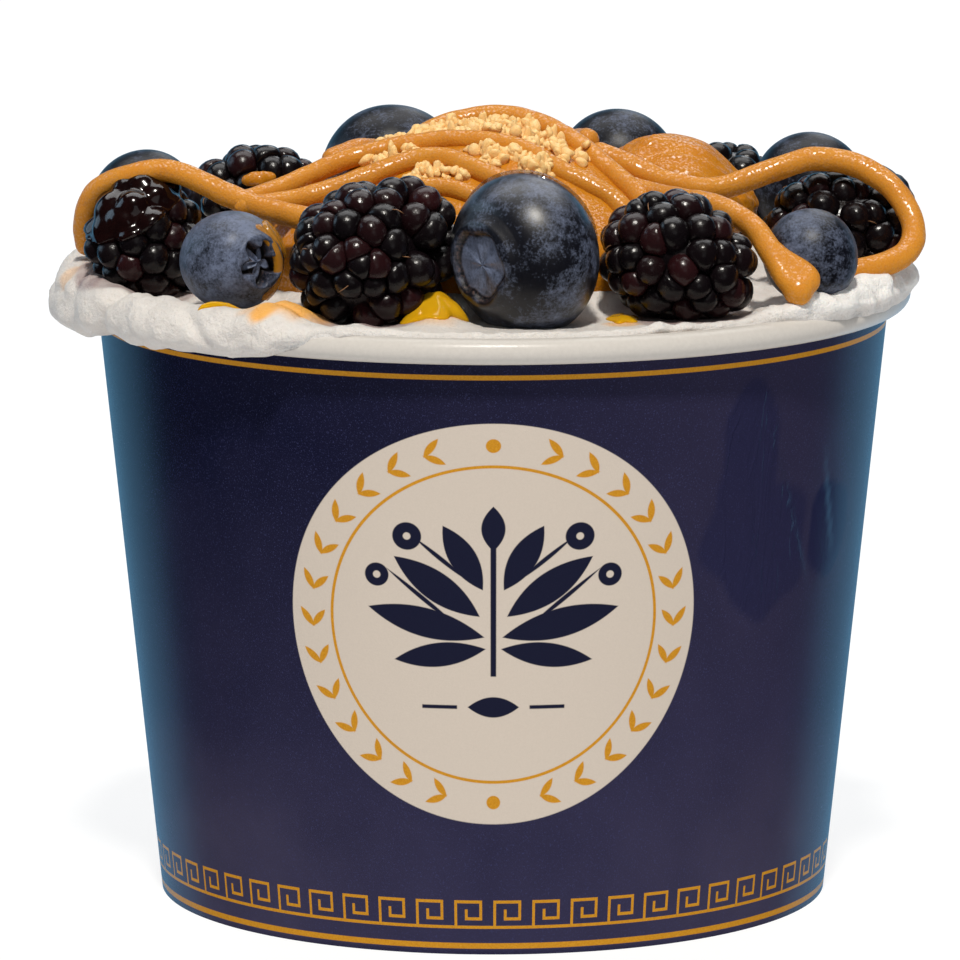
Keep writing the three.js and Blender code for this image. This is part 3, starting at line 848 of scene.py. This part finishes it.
def yogurt_points():
    """The yogurt's skin: rings of points from the floor out, up, round the rim and in over the top.

    With them comes how far it runs over the rim in each direction, from 0 to 1.
    """
    angle = full_turn(YOGURT_STEPS, -math.pi)
    round_cup = stacked(np.cos(angle), np.sin(angle), 0)
    edge, thick, sag = yogurt_lip(np.degrees(angle))
    runs = smooth_step(LIP_EDGE - edge, 10, 60)
    at_rim = round_cup * RAGGED_RADIUS
    edge = edge + runs * (9 * swells(at_rim, 8, 3) + 8 * swells(at_rim, 3.0, 4))
    corner = fill_radius(YOGURT_FLOOR)
    rings = [stacked(np.full(YOGURT_STEPS, radius), YOGURT_FLOOR) for radius in (corner - 2, corner)]
    for share in np.linspace(0, 1, HUG_ROWS):
        rings.append(on_roll(blend(180, edge, share), blend(HUG, TOUCH, share ** 3)))
    for share in np.linspace(0, 1, LIP_ROWS + 1)[1:]:
        swell = math.sin(math.radians(share * LIP_ARC))
        inner = blend(TOUCH, HUG, smooth_step(share, 0, 0.3))
        spots = on_roll(blend(edge, LIP_TOP, share), (inner + thick * swell)[:, None])
        rings.append(spots - (1 - share) * stacked(0, sag))
    rim_radius, rim_height = rings[-1].T
    for share in np.linspace(0, 1, TOP_ROWS + 2)[1:-1]:
        radius = rim_radius * (1 - share)
        dome = FILL_LEVEL + DOME_RISE * np.maximum(0, 1 - (radius / DOME_RADIUS) ** 2)
        shoulder = smooth_step((radius - SHOULDER_RADIUS) / (rim_radius - SHOULDER_RADIUS), 0, 1)
        rings.append(stacked(radius, blend(dome, rim_height, shoulder)))
    rings = np.array(rings)
    return np.concatenate([rings[..., :1] * round_cup[:, :2], rings[..., 1:]], axis=-1), runs


LIP_LENGTH = 12.0  # of a run's surface, from its edge to the top
CRUMBLY = [(22, 36), (6, -6), (70.4, 71.8)]  # in x, y and z, where the curds of a run start and are full; the curds are also painted whiter there, as painted light
YOGURT_FOLDS = [  # ends of a fold (direction, share of the way up), depth and width
    ((-155, -0.1), (-151, 0.9), 1.1, 1.3),
    ((-138, 0.8), (-127, 0.15), 0.8, 0.9),
    ((-125, 0.55), (-117, 0.0), 0.5, 0.8),
    ((-166, 0.9), (-160, 0.1), 0.5, 1.2),
    ((-32, 0.9), (-26, 0.1), 0.6, 1.0),
    ((165, 0.52), (197, 0.44), 1.2, 0.9),
]
HONEY_TINTS = [  # middle, reach and strength
    ((-22.6, -36.4, 72.8), 5.8, 0.95),
    ((-25.0, -39.2, 72.2), 2.6, 1.0),
    ((-6.4, -37.0, 72.0), 3.6, 0.6),
    ((14.2, -36.0, 71.0), 2.4, 0.6),
    ((-48.1, -10.0, 72.3), 2.0, 0.4),
]
JUICY = {1: 1.08, 2: 1.09}  # reach of the juice round a bramble, as a share of its own reach
JUICY_USUAL = 1.03
JUICE_GAP = 1.1
YOGURT_LUMPS = [  # middle, reach and height
    ((-23.0, -36.2, 71.2), 6.2, 2.1),
    ((-6.3, -37.2, 71.0), 5.2, 1.5),
    ((18.4, -41.6, 71.0), 2.4, 0.7),
    ((21.6, -40.6, 71.0), 2.2, 0.6),
]


def yogurt_folds(degrees, way):
    """Creases between folds of the runs, given places by direction and the way up from the edge."""
    total = np.zeros(np.broadcast(degrees, way).shape)
    arc = math.radians(1) * ROLL_MIDDLE[0]
    for (turn_a, way_a), (turn_b, way_b), depth, width in YOGURT_FOLDS:
        along_x, along_z = (turn_b - turn_a) * arc, (way_b - way_a) * LIP_LENGTH
        length = math.hypot(along_x, along_z)
        x, z = ((degrees - turn_a + 180) % 360 - 180) * arc, (way - way_a) * LIP_LENGTH
        run = np.clip((x * along_x + z * along_z) / length ** 2, 0, 1)
        side = np.hypot(x - run * along_x, z - run * along_z)
        total -= depth * np.sin(run * math.pi) ** 0.5 * np.exp(-side / width)
    return total


def yogurt_relief(points, way, lobes, crumbly):
    """How far folds, lumps and curds stand out from the smooth skin."""
    relief = (0.34 * swells(points, 5, 11) + 0.28 * swells(points, 2.1, 12)) * (0.3 + lobes)
    relief += 0.12 * swells(points, 0.9, 15) + 0.08 * lobes * swells(points, 1.3, 16)
    relief += crumbly * (0.9 * np.abs(swells(points, 2.6, 13)) + 0.45 * swells(points, 1.4, 14))
    for at, reach, height in YOGURT_LUMPS:
        relief += height * (1 - smooth_step(lengths(points - at), 0, reach))
    degrees = np.degrees(full_turn(YOGURT_STEPS, -math.pi))
    return relief + yogurt_folds(degrees, way[:, None]).reshape(-1)


def juice_stains(points):
    """Where bramble juice stains the yogurt, from 0 to 1."""
    juice = np.zeros(len(points))
    for number, (at, half, tip) in enumerate(BRAMBLES, 1):
        gap = lengths(points - at) / (max(half) + JUICE_GAP) + 0.05 * swells(points, 2.2, 18)
        reach = JUICY.get(number, JUICY_USUAL)
        juice = np.maximum(juice, 1 - smooth_step(gap, reach - 0.12, reach))
    return juice


def honey_tints(points):
    """Where honey tints the yogurt, from 0 to 1."""
    tint = np.zeros(len(points))
    for at, reach, strength in HONEY_TINTS:
        gap = lengths(points - at) / reach + 0.2 * swells(points, 2.0, 17)
        tint = np.maximum(tint, strength * (1 - smooth_step(gap, 0.5, 1.0)))
    return tint


def yogurt():
    rings, runs = yogurt_points()
    rows = len(rings)
    points = rings.reshape(-1, 3)
    outward = normals_of(points, ring_faces(rows, YOGURT_STEPS))
    hidden = np.zeros(rows - LIP_ROWS - TOP_ROWS)
    way = np.concatenate([hidden, np.linspace(0, 1, LIP_ROWS + 1)[1:], np.linspace(1.1, 5, TOP_ROWS)])
    loose = np.repeat(smooth_step(way, 0, 0.12), YOGURT_STEPS)
    lobes = np.tile(runs, rows)
    crumbly = lobes
    for axis, (start, full) in enumerate(CRUMBLY):
        crumbly = crumbly * smooth_step(points[:, axis], start, full)
    points = points + outward * (yogurt_relief(points, way, lobes, crumbly) * loose)[:, None]
    points, faces = capped_rings(points, rows, YOGURT_STEPS,
                                 (0, 0, YOGURT_FLOOR), (0, 0, FILL_LEVEL + DOME_RISE))
    # The mark on the curds paints them whiter: painted light.
    piece("yogurt_fill", points, faces, thick_yogurt(), "yogurt", ["yogurt"],
          juice=juice_stains(points), honey_tint=honey_tints(points), curd=np.append(crumbly, [0, 0]))
    return BVHTree.FromPolygons(points.tolist(), faces)


def spiral_points(count):
    """Directions spread evenly over a ball."""
    index = np.arange(count)
    height = 1 - (2 * index + 1) / count
    radius = np.sqrt(1 - height ** 2)
    angle = index * math.pi * (3 - math.sqrt(5))
    return stacked(radius * np.cos(angle), radius * np.sin(angle), height)


NEIGHBOURS = 8
PRESS_SOFT = 0.08


def pressed(points, i, middles, radius):
    """The points of one bead, held back where it meets the beads round it."""
    for j in np.argsort(lengths(middles - middles[i]))[1:NEIGHBOURS + 1]:
        apart = middles[j] - middles[i]
        towards = unit(apart)
        limit = lengths(apart) * radius[i] / (radius[i] + radius[j])
        reach = points @ towards
        held = -PRESS_SOFT * np.logaddexp(-reach / PRESS_SOFT, -limit / PRESS_SOFT)
        points = points + towards * (held - reach)[:, None]
    return points


def drupelets(half, seed, bulge=None):
    """Beads on an egg-shaped core, each pressed flat where it meets its neighbours."""
    across, along = half
    random = np.random.default_rng(seed)
    area = 4 * math.pi * across * (across + 2 * along) / 3
    peaks = spiral_points(round(area / (PITCH ** 2 * math.sin(math.pi / 3))))
    peaks = unit(peaks + random.normal(0, 0.07, peaks.shape))
    width = across * (1 - BRAMBLE_TAPER * np.maximum(0, peaks[:, 2]))
    tips = peaks * stacked(width, width, along)
    facing = unit(tips / np.array([across, across, along]) ** 2)
    if bulge is not None:
        towards, amount = bulge
        tips = tips + towards * (amount * smooth_step(facing @ towards, 0.5, 0.9))[:, None]
    radius = PITCH * random.uniform(0.46, 0.61, len(peaks))
    middles = tips - facing * (radius * 1.02 + random.uniform(-0.1, 0.35, len(peaks)))[:, None]
    bead, bead_faces = ball(18, 12)
    core, core_faces = ball(24, 14)
    parts = [(core * np.array([across, across, along]) * 0.76, core_faces)]
    for i, middle in enumerate(middles):
        points = bead @ turned_towards(facing[i]).T * radius[i]
        lean = unit(np.cross(facing[i], random.normal(0, 1, 3)))
        points += lean * (points @ lean)[:, None] * random.uniform(-0.05, 0.2)
        points += facing[i] * (points @ facing[i])[:, None] * 0.12
        parts.append((pressed(points, i, middles, radius) + middle, bead_faces))
    return parts


HAIRS_EACH, HAIR_RADIUS = 4, 0.05
HAIR_SIDE = (0, -0.8, 0.5)  # most stand towards the front and the top
OUTSIDE_BERRY = 20


def hairs(at, surface, seed):
    """Dry hairs that stand on the drupelets."""
    random = np.random.default_rng(seed)
    made = []
    for direction in unit(random.normal(0, 1, (HAIRS_EACH, 3)) + HAIR_SIDE):
        start = Vector(at + direction * OUTSIDE_BERRY)
        foot = np.array(surface.ray_cast(start, Vector(-direction))[0])
        lean = unit(np.cross(direction, random.normal(0, 1, 3)))
        length = random.uniform(0.9, 1.8)
        bend = foot + direction * 0.3 + lean * 0.4 * length
        end = foot + direction * 0.2 + lean * length
        made.append(rope([foot - direction * 0.2, bend, end], HAIR_RADIUS, seed))
    return made


GLAZED = 1  # the bramble that honey covers
BULGES = {2: ((0.8, 0.25, 0.52), 2.0)}  # a berry that swells to one side, and how far


def brambles():
    finish = bramble_skin()
    strands = []
    for number, (at, half, tip) in enumerate(BRAMBLES, 1):
        bulge = BULGES.get(number)
        if bulge is not None:
            bulge = (unit(bulge[0]) @ turned_towards(tip), bulge[1])
        points, faces = joined(drupelets(half, 20 + number, bulge))
        points = placed(points, tip, at)
        piece(f"bramble_{number}_fruit", points, faces, finish, "bramble", [f"bramble_{number}"])
        if number != GLAZED:
            surface = BVHTree.FromPolygons(points.tolist(), faces)
            strands += hairs(at, surface, 120 + number)
    points, faces = joined(strands)
    piece("bramble_hairs", points, faces, dry_hair(), "bramble")


CROWN = {1: 0.52, 2: 0.5}  # radius of a berry's crown, as a share of the half width
CROWN_FILLED = {2: 1.0}  # a crown brimful of syrup
CROWN_USUAL = 0.44
CROWN_POINTS = 5


def berry_ball(half, crown, filled, seed):
    """A blueberry about +Z with its crown on top: points, faces, and marks of the crown.

    They are its folds, which are painted dark as shade in the crown's recess, its floor, which is painted
    lighter, partly as a painted highlight, and the skin round it.
    """
    across, along = half
    steps = 128
    polar = np.concatenate([np.linspace(0.015, 0.7, 54), np.linspace(0.7, math.pi - 0.05, 36)[1:]])
    polar, angle = np.meshgrid(polar, full_turn(steps), indexing="ij")
    around = stacked(np.cos(angle), np.sin(angle), 0).reshape(-1, 3)
    wobble = swells(around * 2, 0.7, seed).reshape(angle.shape)
    reach = np.sin(polar)
    point = 0.5 + 0.5 * np.cos(CROWN_POINTS * angle + 0.9 * wobble + seed)
    share = reach / crown
    near = polar < math.pi / 2
    edge = blend(0.58 + 0.38 * point ** 1.2, 0.86 + 0.06 * point, filled) + 0.05 * wobble
    pit = (1 - smooth_step(share, edge - 0.14, edge + 0.02)) * near
    floor = smooth_step(edge - share, blend(0.26, 0.1, filled), blend(0.42, 0.2, filled)) * near
    inside = (1 - smooth_step(share, 0.86, 1.0)) * near
    level = math.sqrt(1 - crown ** 2) + 0.03 + 0.03 * (1 - point)
    collar = 0.045 * (1 + 0.4 * wobble) * np.exp(-((share - 1.02) / 0.1) ** 2) * near
    groove = -0.02 * np.exp(-((share - 1.3) / 0.1) ** 2) * near
    ridge = 0.05 * (1 - filled) * floor * (0.6 + 0.8 * (1 - point)) * (1 - 0.5 * share)
    depth = blend(0.2, 0.07, filled)
    height = blend(np.cos(polar), level, inside) - depth * pit + ridge + collar + groove
    points = stacked(across * reach * np.cos(angle), across * reach * np.sin(angle), along * height)
    points = points.reshape(-1, 3)
    points = points * (1 + 0.018 * swells(points + 50, across * 0.9, seed + 1))[:, None]
    start = points[:steps].mean(axis=0)
    end = points[-steps:].mean(axis=0) - (0, 0, 0.004 * along)
    points, faces = capped_rings(points, len(polar), steps, start, end)
    beside = np.exp(-((share - 1.25) / 0.3) ** 2) * near
    marks = [(pit * (1 - floor), 0), (floor, 1), (beside, 0)]
    return points, faces, *[np.append(mark.reshape(-1), [pole, 0]) for mark, pole in marks]


BLOOM = {1: 0.15, 2: -0.22, 3: -0.17}  # berries with more or less bloom than the rest
# The rest, round the back, carry less bloom: partly less bloom, partly painted shade that darkens their
# tops.
BLOOM_AND_SHADE_AT_BACK = -0.4
SHINE = {1: 0.15, 2: 0.6, 3: 0.1}  # berries wet with syrup


def blueberries():
    finish = blueberry_skin()
    for number, (at, half, crown) in enumerate(BLUEBERRIES, 1):
        filled = CROWN_FILLED.get(number, 0.0)
        wide = CROWN.get(number, CROWN_USUAL)
        points, faces, hollow, floor, beside = berry_ball(half, wide, filled, 60 + number)
        points = placed(points, crown, at)
        # The crown's floor gets more bloom: partly its paler scar, partly a painted highlight on the large
        # syrup-filled floor of the second berry.
        bloom = BLOOM.get(number, BLOOM_AND_SHADE_AT_BACK) + 0.5 * floor - 0.35 * filled * beside
        piece(f"blueberry_{number}_fruit", points, faces, finish, "blueberry", [f"blueberry_{number}"],
              hollow=hollow, bloom=bloom, shine=np.full(len(points), SHINE.get(number, 0.0)))


CURVE_SPANS = [  # in three rounds, the knots between which neighbouring points are blended
    [(0, 1), (1, 2), (2, 3)],
    [(0, 2), (1, 3)],
    [(1, 2)],
]
CURVE_STEPS = 24


def running_total(values):
    return np.concatenate([[0], np.cumsum(values)])


def route_points(route, step):
    """Points every step along a smooth curve through a route's points."""
    route = np.array(route, float)
    held = np.vstack([2 * route[0] - route[1], route, 2 * route[-1] - route[-2]])
    knots = running_total(np.sqrt(lengths(np.diff(held, axis=0))))
    dense = []
    for i in range(len(route) - 1):
        knot, curve = knots[i:i + 4], held[i:i + 4]
        way = np.linspace(knot[1], knot[2], CURVE_STEPS, endpoint=False)[:, None]
        for spans in CURVE_SPANS:
            curve = [blend(first, second, (way - knot[a]) / (knot[b] - knot[a]))
                     for first, second, (a, b) in zip(curve, curve[1:], spans)]
        dense += curve
    dense = np.vstack([*dense, route[-1:]])
    length = running_total(lengths(np.diff(dense, axis=0)))
    stops = np.linspace(0, length[-1], max(4, round(length[-1] / step)))
    return stacked(*(np.interp(stops, length, column) for column in dense.T))


ROPE_SIDES = 20


def rope(route, radius, seed):
    """A strand with round ends along a route."""
    path = route_points(route, 0.4)
    along = unit(np.gradient(path, axis=0))
    side = [unit(np.cross(along[0], (0.3, 0.2, 1)))]
    for direction in along[1:]:
        side.append(unit(side[-1] - direction * (side[-1] @ direction)))
    side = np.array(side)
    up = np.cross(along, side)
    run = np.arange(len(path)) * lengths(path[1] - path[0])
    from_end = np.minimum(run, run[-1] - run)
    rounding = np.sqrt(np.maximum(1 - np.maximum(1 - from_end / radius, 0) ** 2, 0.01))
    girth = radius * rounding * (1 + 0.06 * swells(path, 7, seed))
    angle = full_turn(ROPE_SIDES)
    ring = side[:, None] * np.cos(angle)[:, None] + up[:, None] * np.sin(angle)[:, None]
    points = (path[:, None] + ring * girth[:, None, None]).reshape(-1, 3)
    return capped_rings(points, len(path), ROPE_SIDES, path[0], path[-1])


def heap():
    steps = 220
    section = np.array([(1.06, FILL_LEVEL), (1.08, blend(FILL_LEVEL, HEAP_TOP - HEAP_FALL, 0.6))]
                       + [(r, HEAP_TOP - HEAP_FALL * r ** 2) for r in np.linspace(1, 0.02, 64)])
    angle = full_turn(steps)
    across, along = section[:, :1] * np.cos(angle), section[:, :1] * np.sin(angle)
    reach_x, reach_y = heap_reach(across, along)
    x, y = HEAP_MIDDLE[0] + across * reach_x, HEAP_MIDDLE[1] + along * reach_y
    points = stacked(x, y, section[:, 1:]).reshape(-1, 3)
    return capped_rings(points, len(section), steps,
                        (*HEAP_MIDDLE, FILL_LEVEL), (*HEAP_MIDDLE, HEAP_TOP))


def dab():
    """A smear with streaks along it."""
    points, faces = ball(240, 60)
    points = points[:, [2, 0, 1]] * DAB_HALF
    outward = unit(points / np.array(DAB_HALF) ** 2)
    threads = points * (0.11, 1, 1)
    streaks = swells(threads, 1.2, 41) + 0.6 * swells(threads, 0.6, 44)
    lumps = 0.38 * streaks + 0.5 * swells(points, 5, 42) + 0.08 * swells(points, 1.3, 43)
    points = points + outward * lumps[:, None]
    tilt = math.radians(DAB_TILT)
    cos, sin = math.cos(tilt), math.sin(tilt)
    turn = np.array([[cos, 0, sin], [0, 1, 0], [-sin, 0, cos]])
    return points @ turn.T + DAB_MIDDLE, faces


SCRAP = [  # middle and half sizes of its lumps
    ((-27.6, 19.9, 79.0), (1.7, 0.9, 0.9)),
    ((-26.2, 20.0, 79.3), (1.1, 0.8, 0.8)),
]


def scrap():
    """Nut butter that dropped on a bramble."""
    ball_points, ball_faces = ball(24, 14)
    points, faces = fused([(ball_points * half + at, ball_faces) for at, half in SCRAP], 0.15, 3)
    return points + normals_of(points, faces) * (0.2 * swells(points, 0.9, 52))[:, None], faces.tolist()


def tail_end():
    """The round end of the tail that hangs down at the right."""
    points, faces = ball(32, 20)
    return points * TAIL_END_RADIUS + TAIL_END, faces


TAIL_ROPES = (6, 7)  # those that run into the round end of the tail


def nut_butter():
    ropes = [rope(route, radius, 30 + i) for i, (radius, route) in enumerate(ROPES)]
    tail, tail_faces = fused([tail_end()] + [ropes[i] for i in TAIL_ROPES], 0.25, 14)
    smear = heap()
    parts = [smear, (tail, tail_faces.tolist())]
    parts += [one for i, one in enumerate(ropes) if i not in TAIL_ROPES]
    points, faces = joined(parts)
    strand = np.arange(len(points)) >= len(smear[0])
    points = points + 0.07 * stacked(*(swells(points, 1.7, 51 + k) for k in range(3)))
    finish = smooth_nut_butter()
    piece("nut_butter_drizzle", points, faces, finish, "nut_butter", ["nut_butter"], strand=strand)
    piece("nut_butter_dab", *dab(), finish, "nut_butter", ["nut_butter"])
    piece("nut_butter_scrap", *scrap(), finish, "nut_butter")
    return BVHTree.FromPolygons(points.tolist(), faces)


HIGH_STRAND, LOW_STRAND, CREST = ROPES[1][1], ROPES[2][1], ROPES[4][1]
NUT_FIELDS = [  # count, x from and to, then what bounds the field in front and behind: a rope, or y
    (110, (-10, 8.5), HIGH_STRAND, CREST),
    (10, (-14, -8), LOW_STRAND, HIGH_STRAND),
    (20, (-10.5, -3), -18, LOW_STRAND),
    (30, (-2, 7), -16.5, HIGH_STRAND),
    (3, (8.5, 11), -14, CREST),
    (60, (-13, 9), 3, 15),
]
ROPE_CLEAR = 1.2
ON_ROPE = 0.9  # what lies this far above the heap is a rope, and carries no nuts
FLAKES = 0.2  # share of the crumbs that are upright flakes


ABOVE_ALL = 200


def landed(surface, x, y):
    """Where a drop that falls at x and y meets a surface, if it does."""
    return surface.ray_cast(Vector((x, y, ABOVE_ALL)), Vector((0, 0, -1)))[0]


def rope_line(rope_or_y, x):
    """Where a rope passes in y at some x."""
    if isinstance(rope_or_y, (int, float)):
        return rope_or_y
    route = np.array(rope_or_y, float)
    return np.interp(x, route[:, 0], route[:, 1])


def crumb(random):
    """A lumpy crumb of nut."""
    points, faces = ball(14, 8)
    lumps = 0.34 * swells(points + random.uniform(0, 50, 3), 0.8, 8)
    lumps += 0.16 * swells(points + random.uniform(0, 50, 3), 0.36, 9)
    return points * (1 + lumps)[:, None], faces


def chopped_nuts(surface):
    random = np.random.default_rng(7)
    crumbs = [crumb(random) for _ in range(12)]
    parts = []
    for count, (low, high), front, back in NUT_FIELDS:
        for _ in range(count):
            x = random.uniform(low, high)
            nearest, farthest = rope_line(front, x) + ROPE_CLEAR, rope_line(back, x) - ROPE_CLEAR
            y = blend(nearest, farthest, random.uniform())
            pile = 0.0
            for _ in range(random.integers(2, 6)):
                size = random.uniform(0.4, 0.9)
                spot = x + random.normal(0, 0.5), y + random.normal(0, 0.4)
                hit = landed(surface, *spot)
                if hit.z > heap_height(*spot) + ON_ROPE:
                    continue
                points, faces = crumbs[random.integers(len(crumbs))]
                points = points * random.uniform(0.6, 1.1, 3) * size
                points = points @ turned_towards(random.normal(0, 1, 3)).T
                if random.uniform() < FLAKES:
                    points = points * (0.7, 0.4, 1.7)
                parts.append((points + np.array(hit) + (0, 0, 0.1 * size + pile), faces))
                pile += 0.35 * size
    points, faces = joined(parts)
    piece("chopped_nuts_scatter", points, faces, nut_flesh(), "chopped_nuts")


# Honey: pools on the yogurt (middle, half sizes, thickness, rise towards the back), a streak and films
POOLS = [
    ((-6.5, -35.8), (3.6, 3.0), 0.6, 3.2),
    ((-29.2, -34.4), (3.0, 0.7), 0.5, 0.0),
    ((14.4, -32.4), (1.6, 3.2), 0.5, 0.0),
]
STREAK_RADIUS = 0.55
STREAK = [(-26.4, -30.6, 81.1), (-24.3, -31, 78.5), (-23.8, -30.8, 76.3), (-24.4, -30.7, 74.1),
          (-25.7, -31, 72.7)]
FILMS = [  # berry, side that carries the film, how near that side it starts and is full, depth of colour
    (1, (0.87, -0.1, 0.48), 0.88, 0.93, 0.0),
    (2, (0.3, 0.8, 0.5), 0.38, 0.45, 1.0),
]
GLAZE_SIDE, GLAZE_FROM, GLAZE_FULL = (-0.4, -0.25, 0.88), 0.4, 0.55
FILM_LIFT = 0.3
FILM_SINK = 2.6  # elsewhere the film lies this deep inside the berry


def pool(middle, half, thick, rise, surface):
    """A lens of honey with its edge on the yogurt."""
    steps = 40
    angle = full_turn(steps)
    ragged = 1 + 0.16 * np.sin(2 * angle + middle[0]) + 0.12 * np.sin(5 * angle + middle[1])
    rings = []
    below = [(0.3, -0.3), (0.7, -0.3), (1.0, -0.12)]
    above = [(share, thick * (1 - share ** 2) ** 0.6) for share in np.linspace(0.97, 0.1, 12)]
    for share, lift in below + above:
        x = middle[0] + half[0] * share * ragged * np.cos(angle)
        y = middle[1] + half[1] * share * ragged * np.sin(angle)
        hits = [landed(surface, *spot) for spot in zip(x, y)]
        z = np.array([RIM_HEIGHT if hit is None else hit.z for hit in hits])
        back = smooth_step(y, middle[1] - half[1], middle[1] + half[1])
        rings.append(stacked(x, y, z + lift + max(lift, 0) / thick * rise * back))
        if lift > 0:
            rings[-1][:, 2] += 0.3 * thick * swells(rings[-1], 1.6, 94)
    points = np.vstack(rings)
    return capped_rings(points, len(rings), steps, rings[0].mean(axis=0), rings[-1].mean(axis=0))


def film(points, faces, at, side, low, high, seed):
    """A skin of honey that stands out from a berry on one side and lies under its surface elsewhere."""
    away = unit(points - at)
    share = smooth_step(away @ unit(side) + 0.05 * swells(points, 2.5, seed), low, high)
    return points + away * blend(-FILM_SINK, FILM_LIFT, share)[:, None], faces


def honey(surface):
    points, faces = joined([pool(*one, surface) for one in POOLS])
    piece("honey_pools", points, faces, clear_honey(), "honey")
    at, half, tip = BRAMBLES[GLAZED - 1]
    points, faces = fused(drupelets(half, 20 + GLAZED), 0.3, 16)
    points += normals_of(points, faces) * (0.2 + 0.4 * swells(points, 4.2, 93))[:, None]
    points = placed(points, tip, at)
    points, faces = film(points, faces.tolist(), at, GLAZE_SIDE, GLAZE_FROM, GLAZE_FULL, 92)
    piece("honey_glaze", points, faces, dark_glaze(), "honey")
    films, depths = [rope(STREAK, STREAK_RADIUS, 90)], [0.0]
    for number, side, low, high, depth in FILMS:
        at, half, crown = BLUEBERRIES[number - 1]
        points, faces = ball(96, 60)
        points = placed(points * (half[0], half[0], half[1]), crown, at)
        films.append(film(points, faces, at, side, low, high, 92 + number))
        depths.append(depth)
    points, faces = joined(films)
    deep = np.concatenate([np.full(len(one[0]), depth) for one, depth in zip(films, depths)])
    piece("honey_films", points, faces, thin_honey(), "honey", deep=deep)


# Stage, light and camera

CAMERA_PLACE = (-1.476, -997.78, 220.88)
CAMERA_DROP = 9.8835
CAMERA_LENS = 330.815
FLOOR_HALF = 4.0  # metres, as are the places of the lights


def camera():
    data = bpy.data.cameras.new("camera")
    data.lens = CAMERA_LENS
    data.sensor_width = 36
    data.clip_end = 20
    made = linked("camera", data)
    made.location = Vector(CAMERA_PLACE) * MM
    made.rotation_euler = (math.radians(90 - CAMERA_DROP), 0, 0)
    bpy.context.scene.camera = made


def area_light(name, place, aim, size, power, colour=(1, 1, 1)):
    data = bpy.data.lights.new(name, "AREA")
    data.shape = "RECTANGLE"
    data.size, data.size_y = size
    data.energy = power
    data.color = colour
    made = linked(name, data)
    made.location = place
    made.rotation_euler = (Vector(aim) - Vector(place)).to_track_quat("-Z", "Y").to_euler()
    return made


def sun_light(name, towards, power, angle, colour):
    data = bpy.data.lights.new(name, "SUN")
    data.energy = power
    data.angle = math.radians(angle)
    data.color = colour
    made = linked(name, data)
    made.rotation_euler = Vector(towards).to_track_quat("Z", "Y").to_euler()


def pale_floor():
    corners = [(-1, -1), (1, -1), (1, 1), (-1, 1)]
    mesh = mesh_of("floor", [(x * FLOOR_HALF, y * FLOOR_HALF, 0) for x, y in corners], [[0, 1, 2, 3]])
    finish = Finish("pale_floor")
    colour = finish.mix(finish.grain(40.0, 3.0), (0.16, 0.16, 0.16, 1), (0.14, 0.14, 0.14, 1))
    mesh.materials.append(finish.done(
        Base_Color=colour,
        Roughness=0.8,
        Emission_Color=(1, 1, 1, 1),
        Emission_Strength=0.84,
    ))
    floor = linked("floor", mesh)
    floor.visible_glossy = False


def surroundings():
    world = bpy.data.worlds.new("studio")
    bpy.context.scene.world = world
    world.use_nodes = True
    background = world.node_tree.nodes["Background"]
    background.inputs["Color"].default_value = (0.8, 0.9, 1.0, 1)
    background.inputs["Strength"].default_value = 0.22
    world.cycles_visibility.glossy = False
    settings = bpy.context.scene.view_settings
    settings.view_transform = "Standard"
    settings.look = "None"


def lights():
    sun_light("key", (0.0, -0.5, 0.86), 3.1, 6, (1.0, 0.96, 0.89))
    area_light("fill", (0.3, -1.2, 0.35), (0, 0, 0.04), (0.5, 0.5), 0.4)
    area_light("back", (0.3, 1.3, 0.9), (0, 0, 0.05), (0.5, 0.5), 2.0)
    sky = area_light("sky", (0, 0.5, -0.06), (0, 0, -0.06), (1.5, 0.7), 2.5, (0.22, 0.57, 0.9))
    side = area_light("side", (-0.9, 0.25, 0.45), (0, 0, 0.06), (0.6, 0.5), 1.8, (0.55, 0.78, 1.0))
    top = area_light("top", (0, 0.3, 0.9), (0, 0, 0.08), (1.2, 0.6), 7.0)
    for panel in (sky, side, top):
        panel.visible_diffuse = False
        panel.visible_camera = False


camera()
pale_floor()
surroundings()
lights()
cup_wall()
cup_base()
yogurt_surface = yogurt()
brambles()
blueberries()
nut_surface = nut_butter()
chopped_nuts(nut_surface)
honey(yogurt_surface)
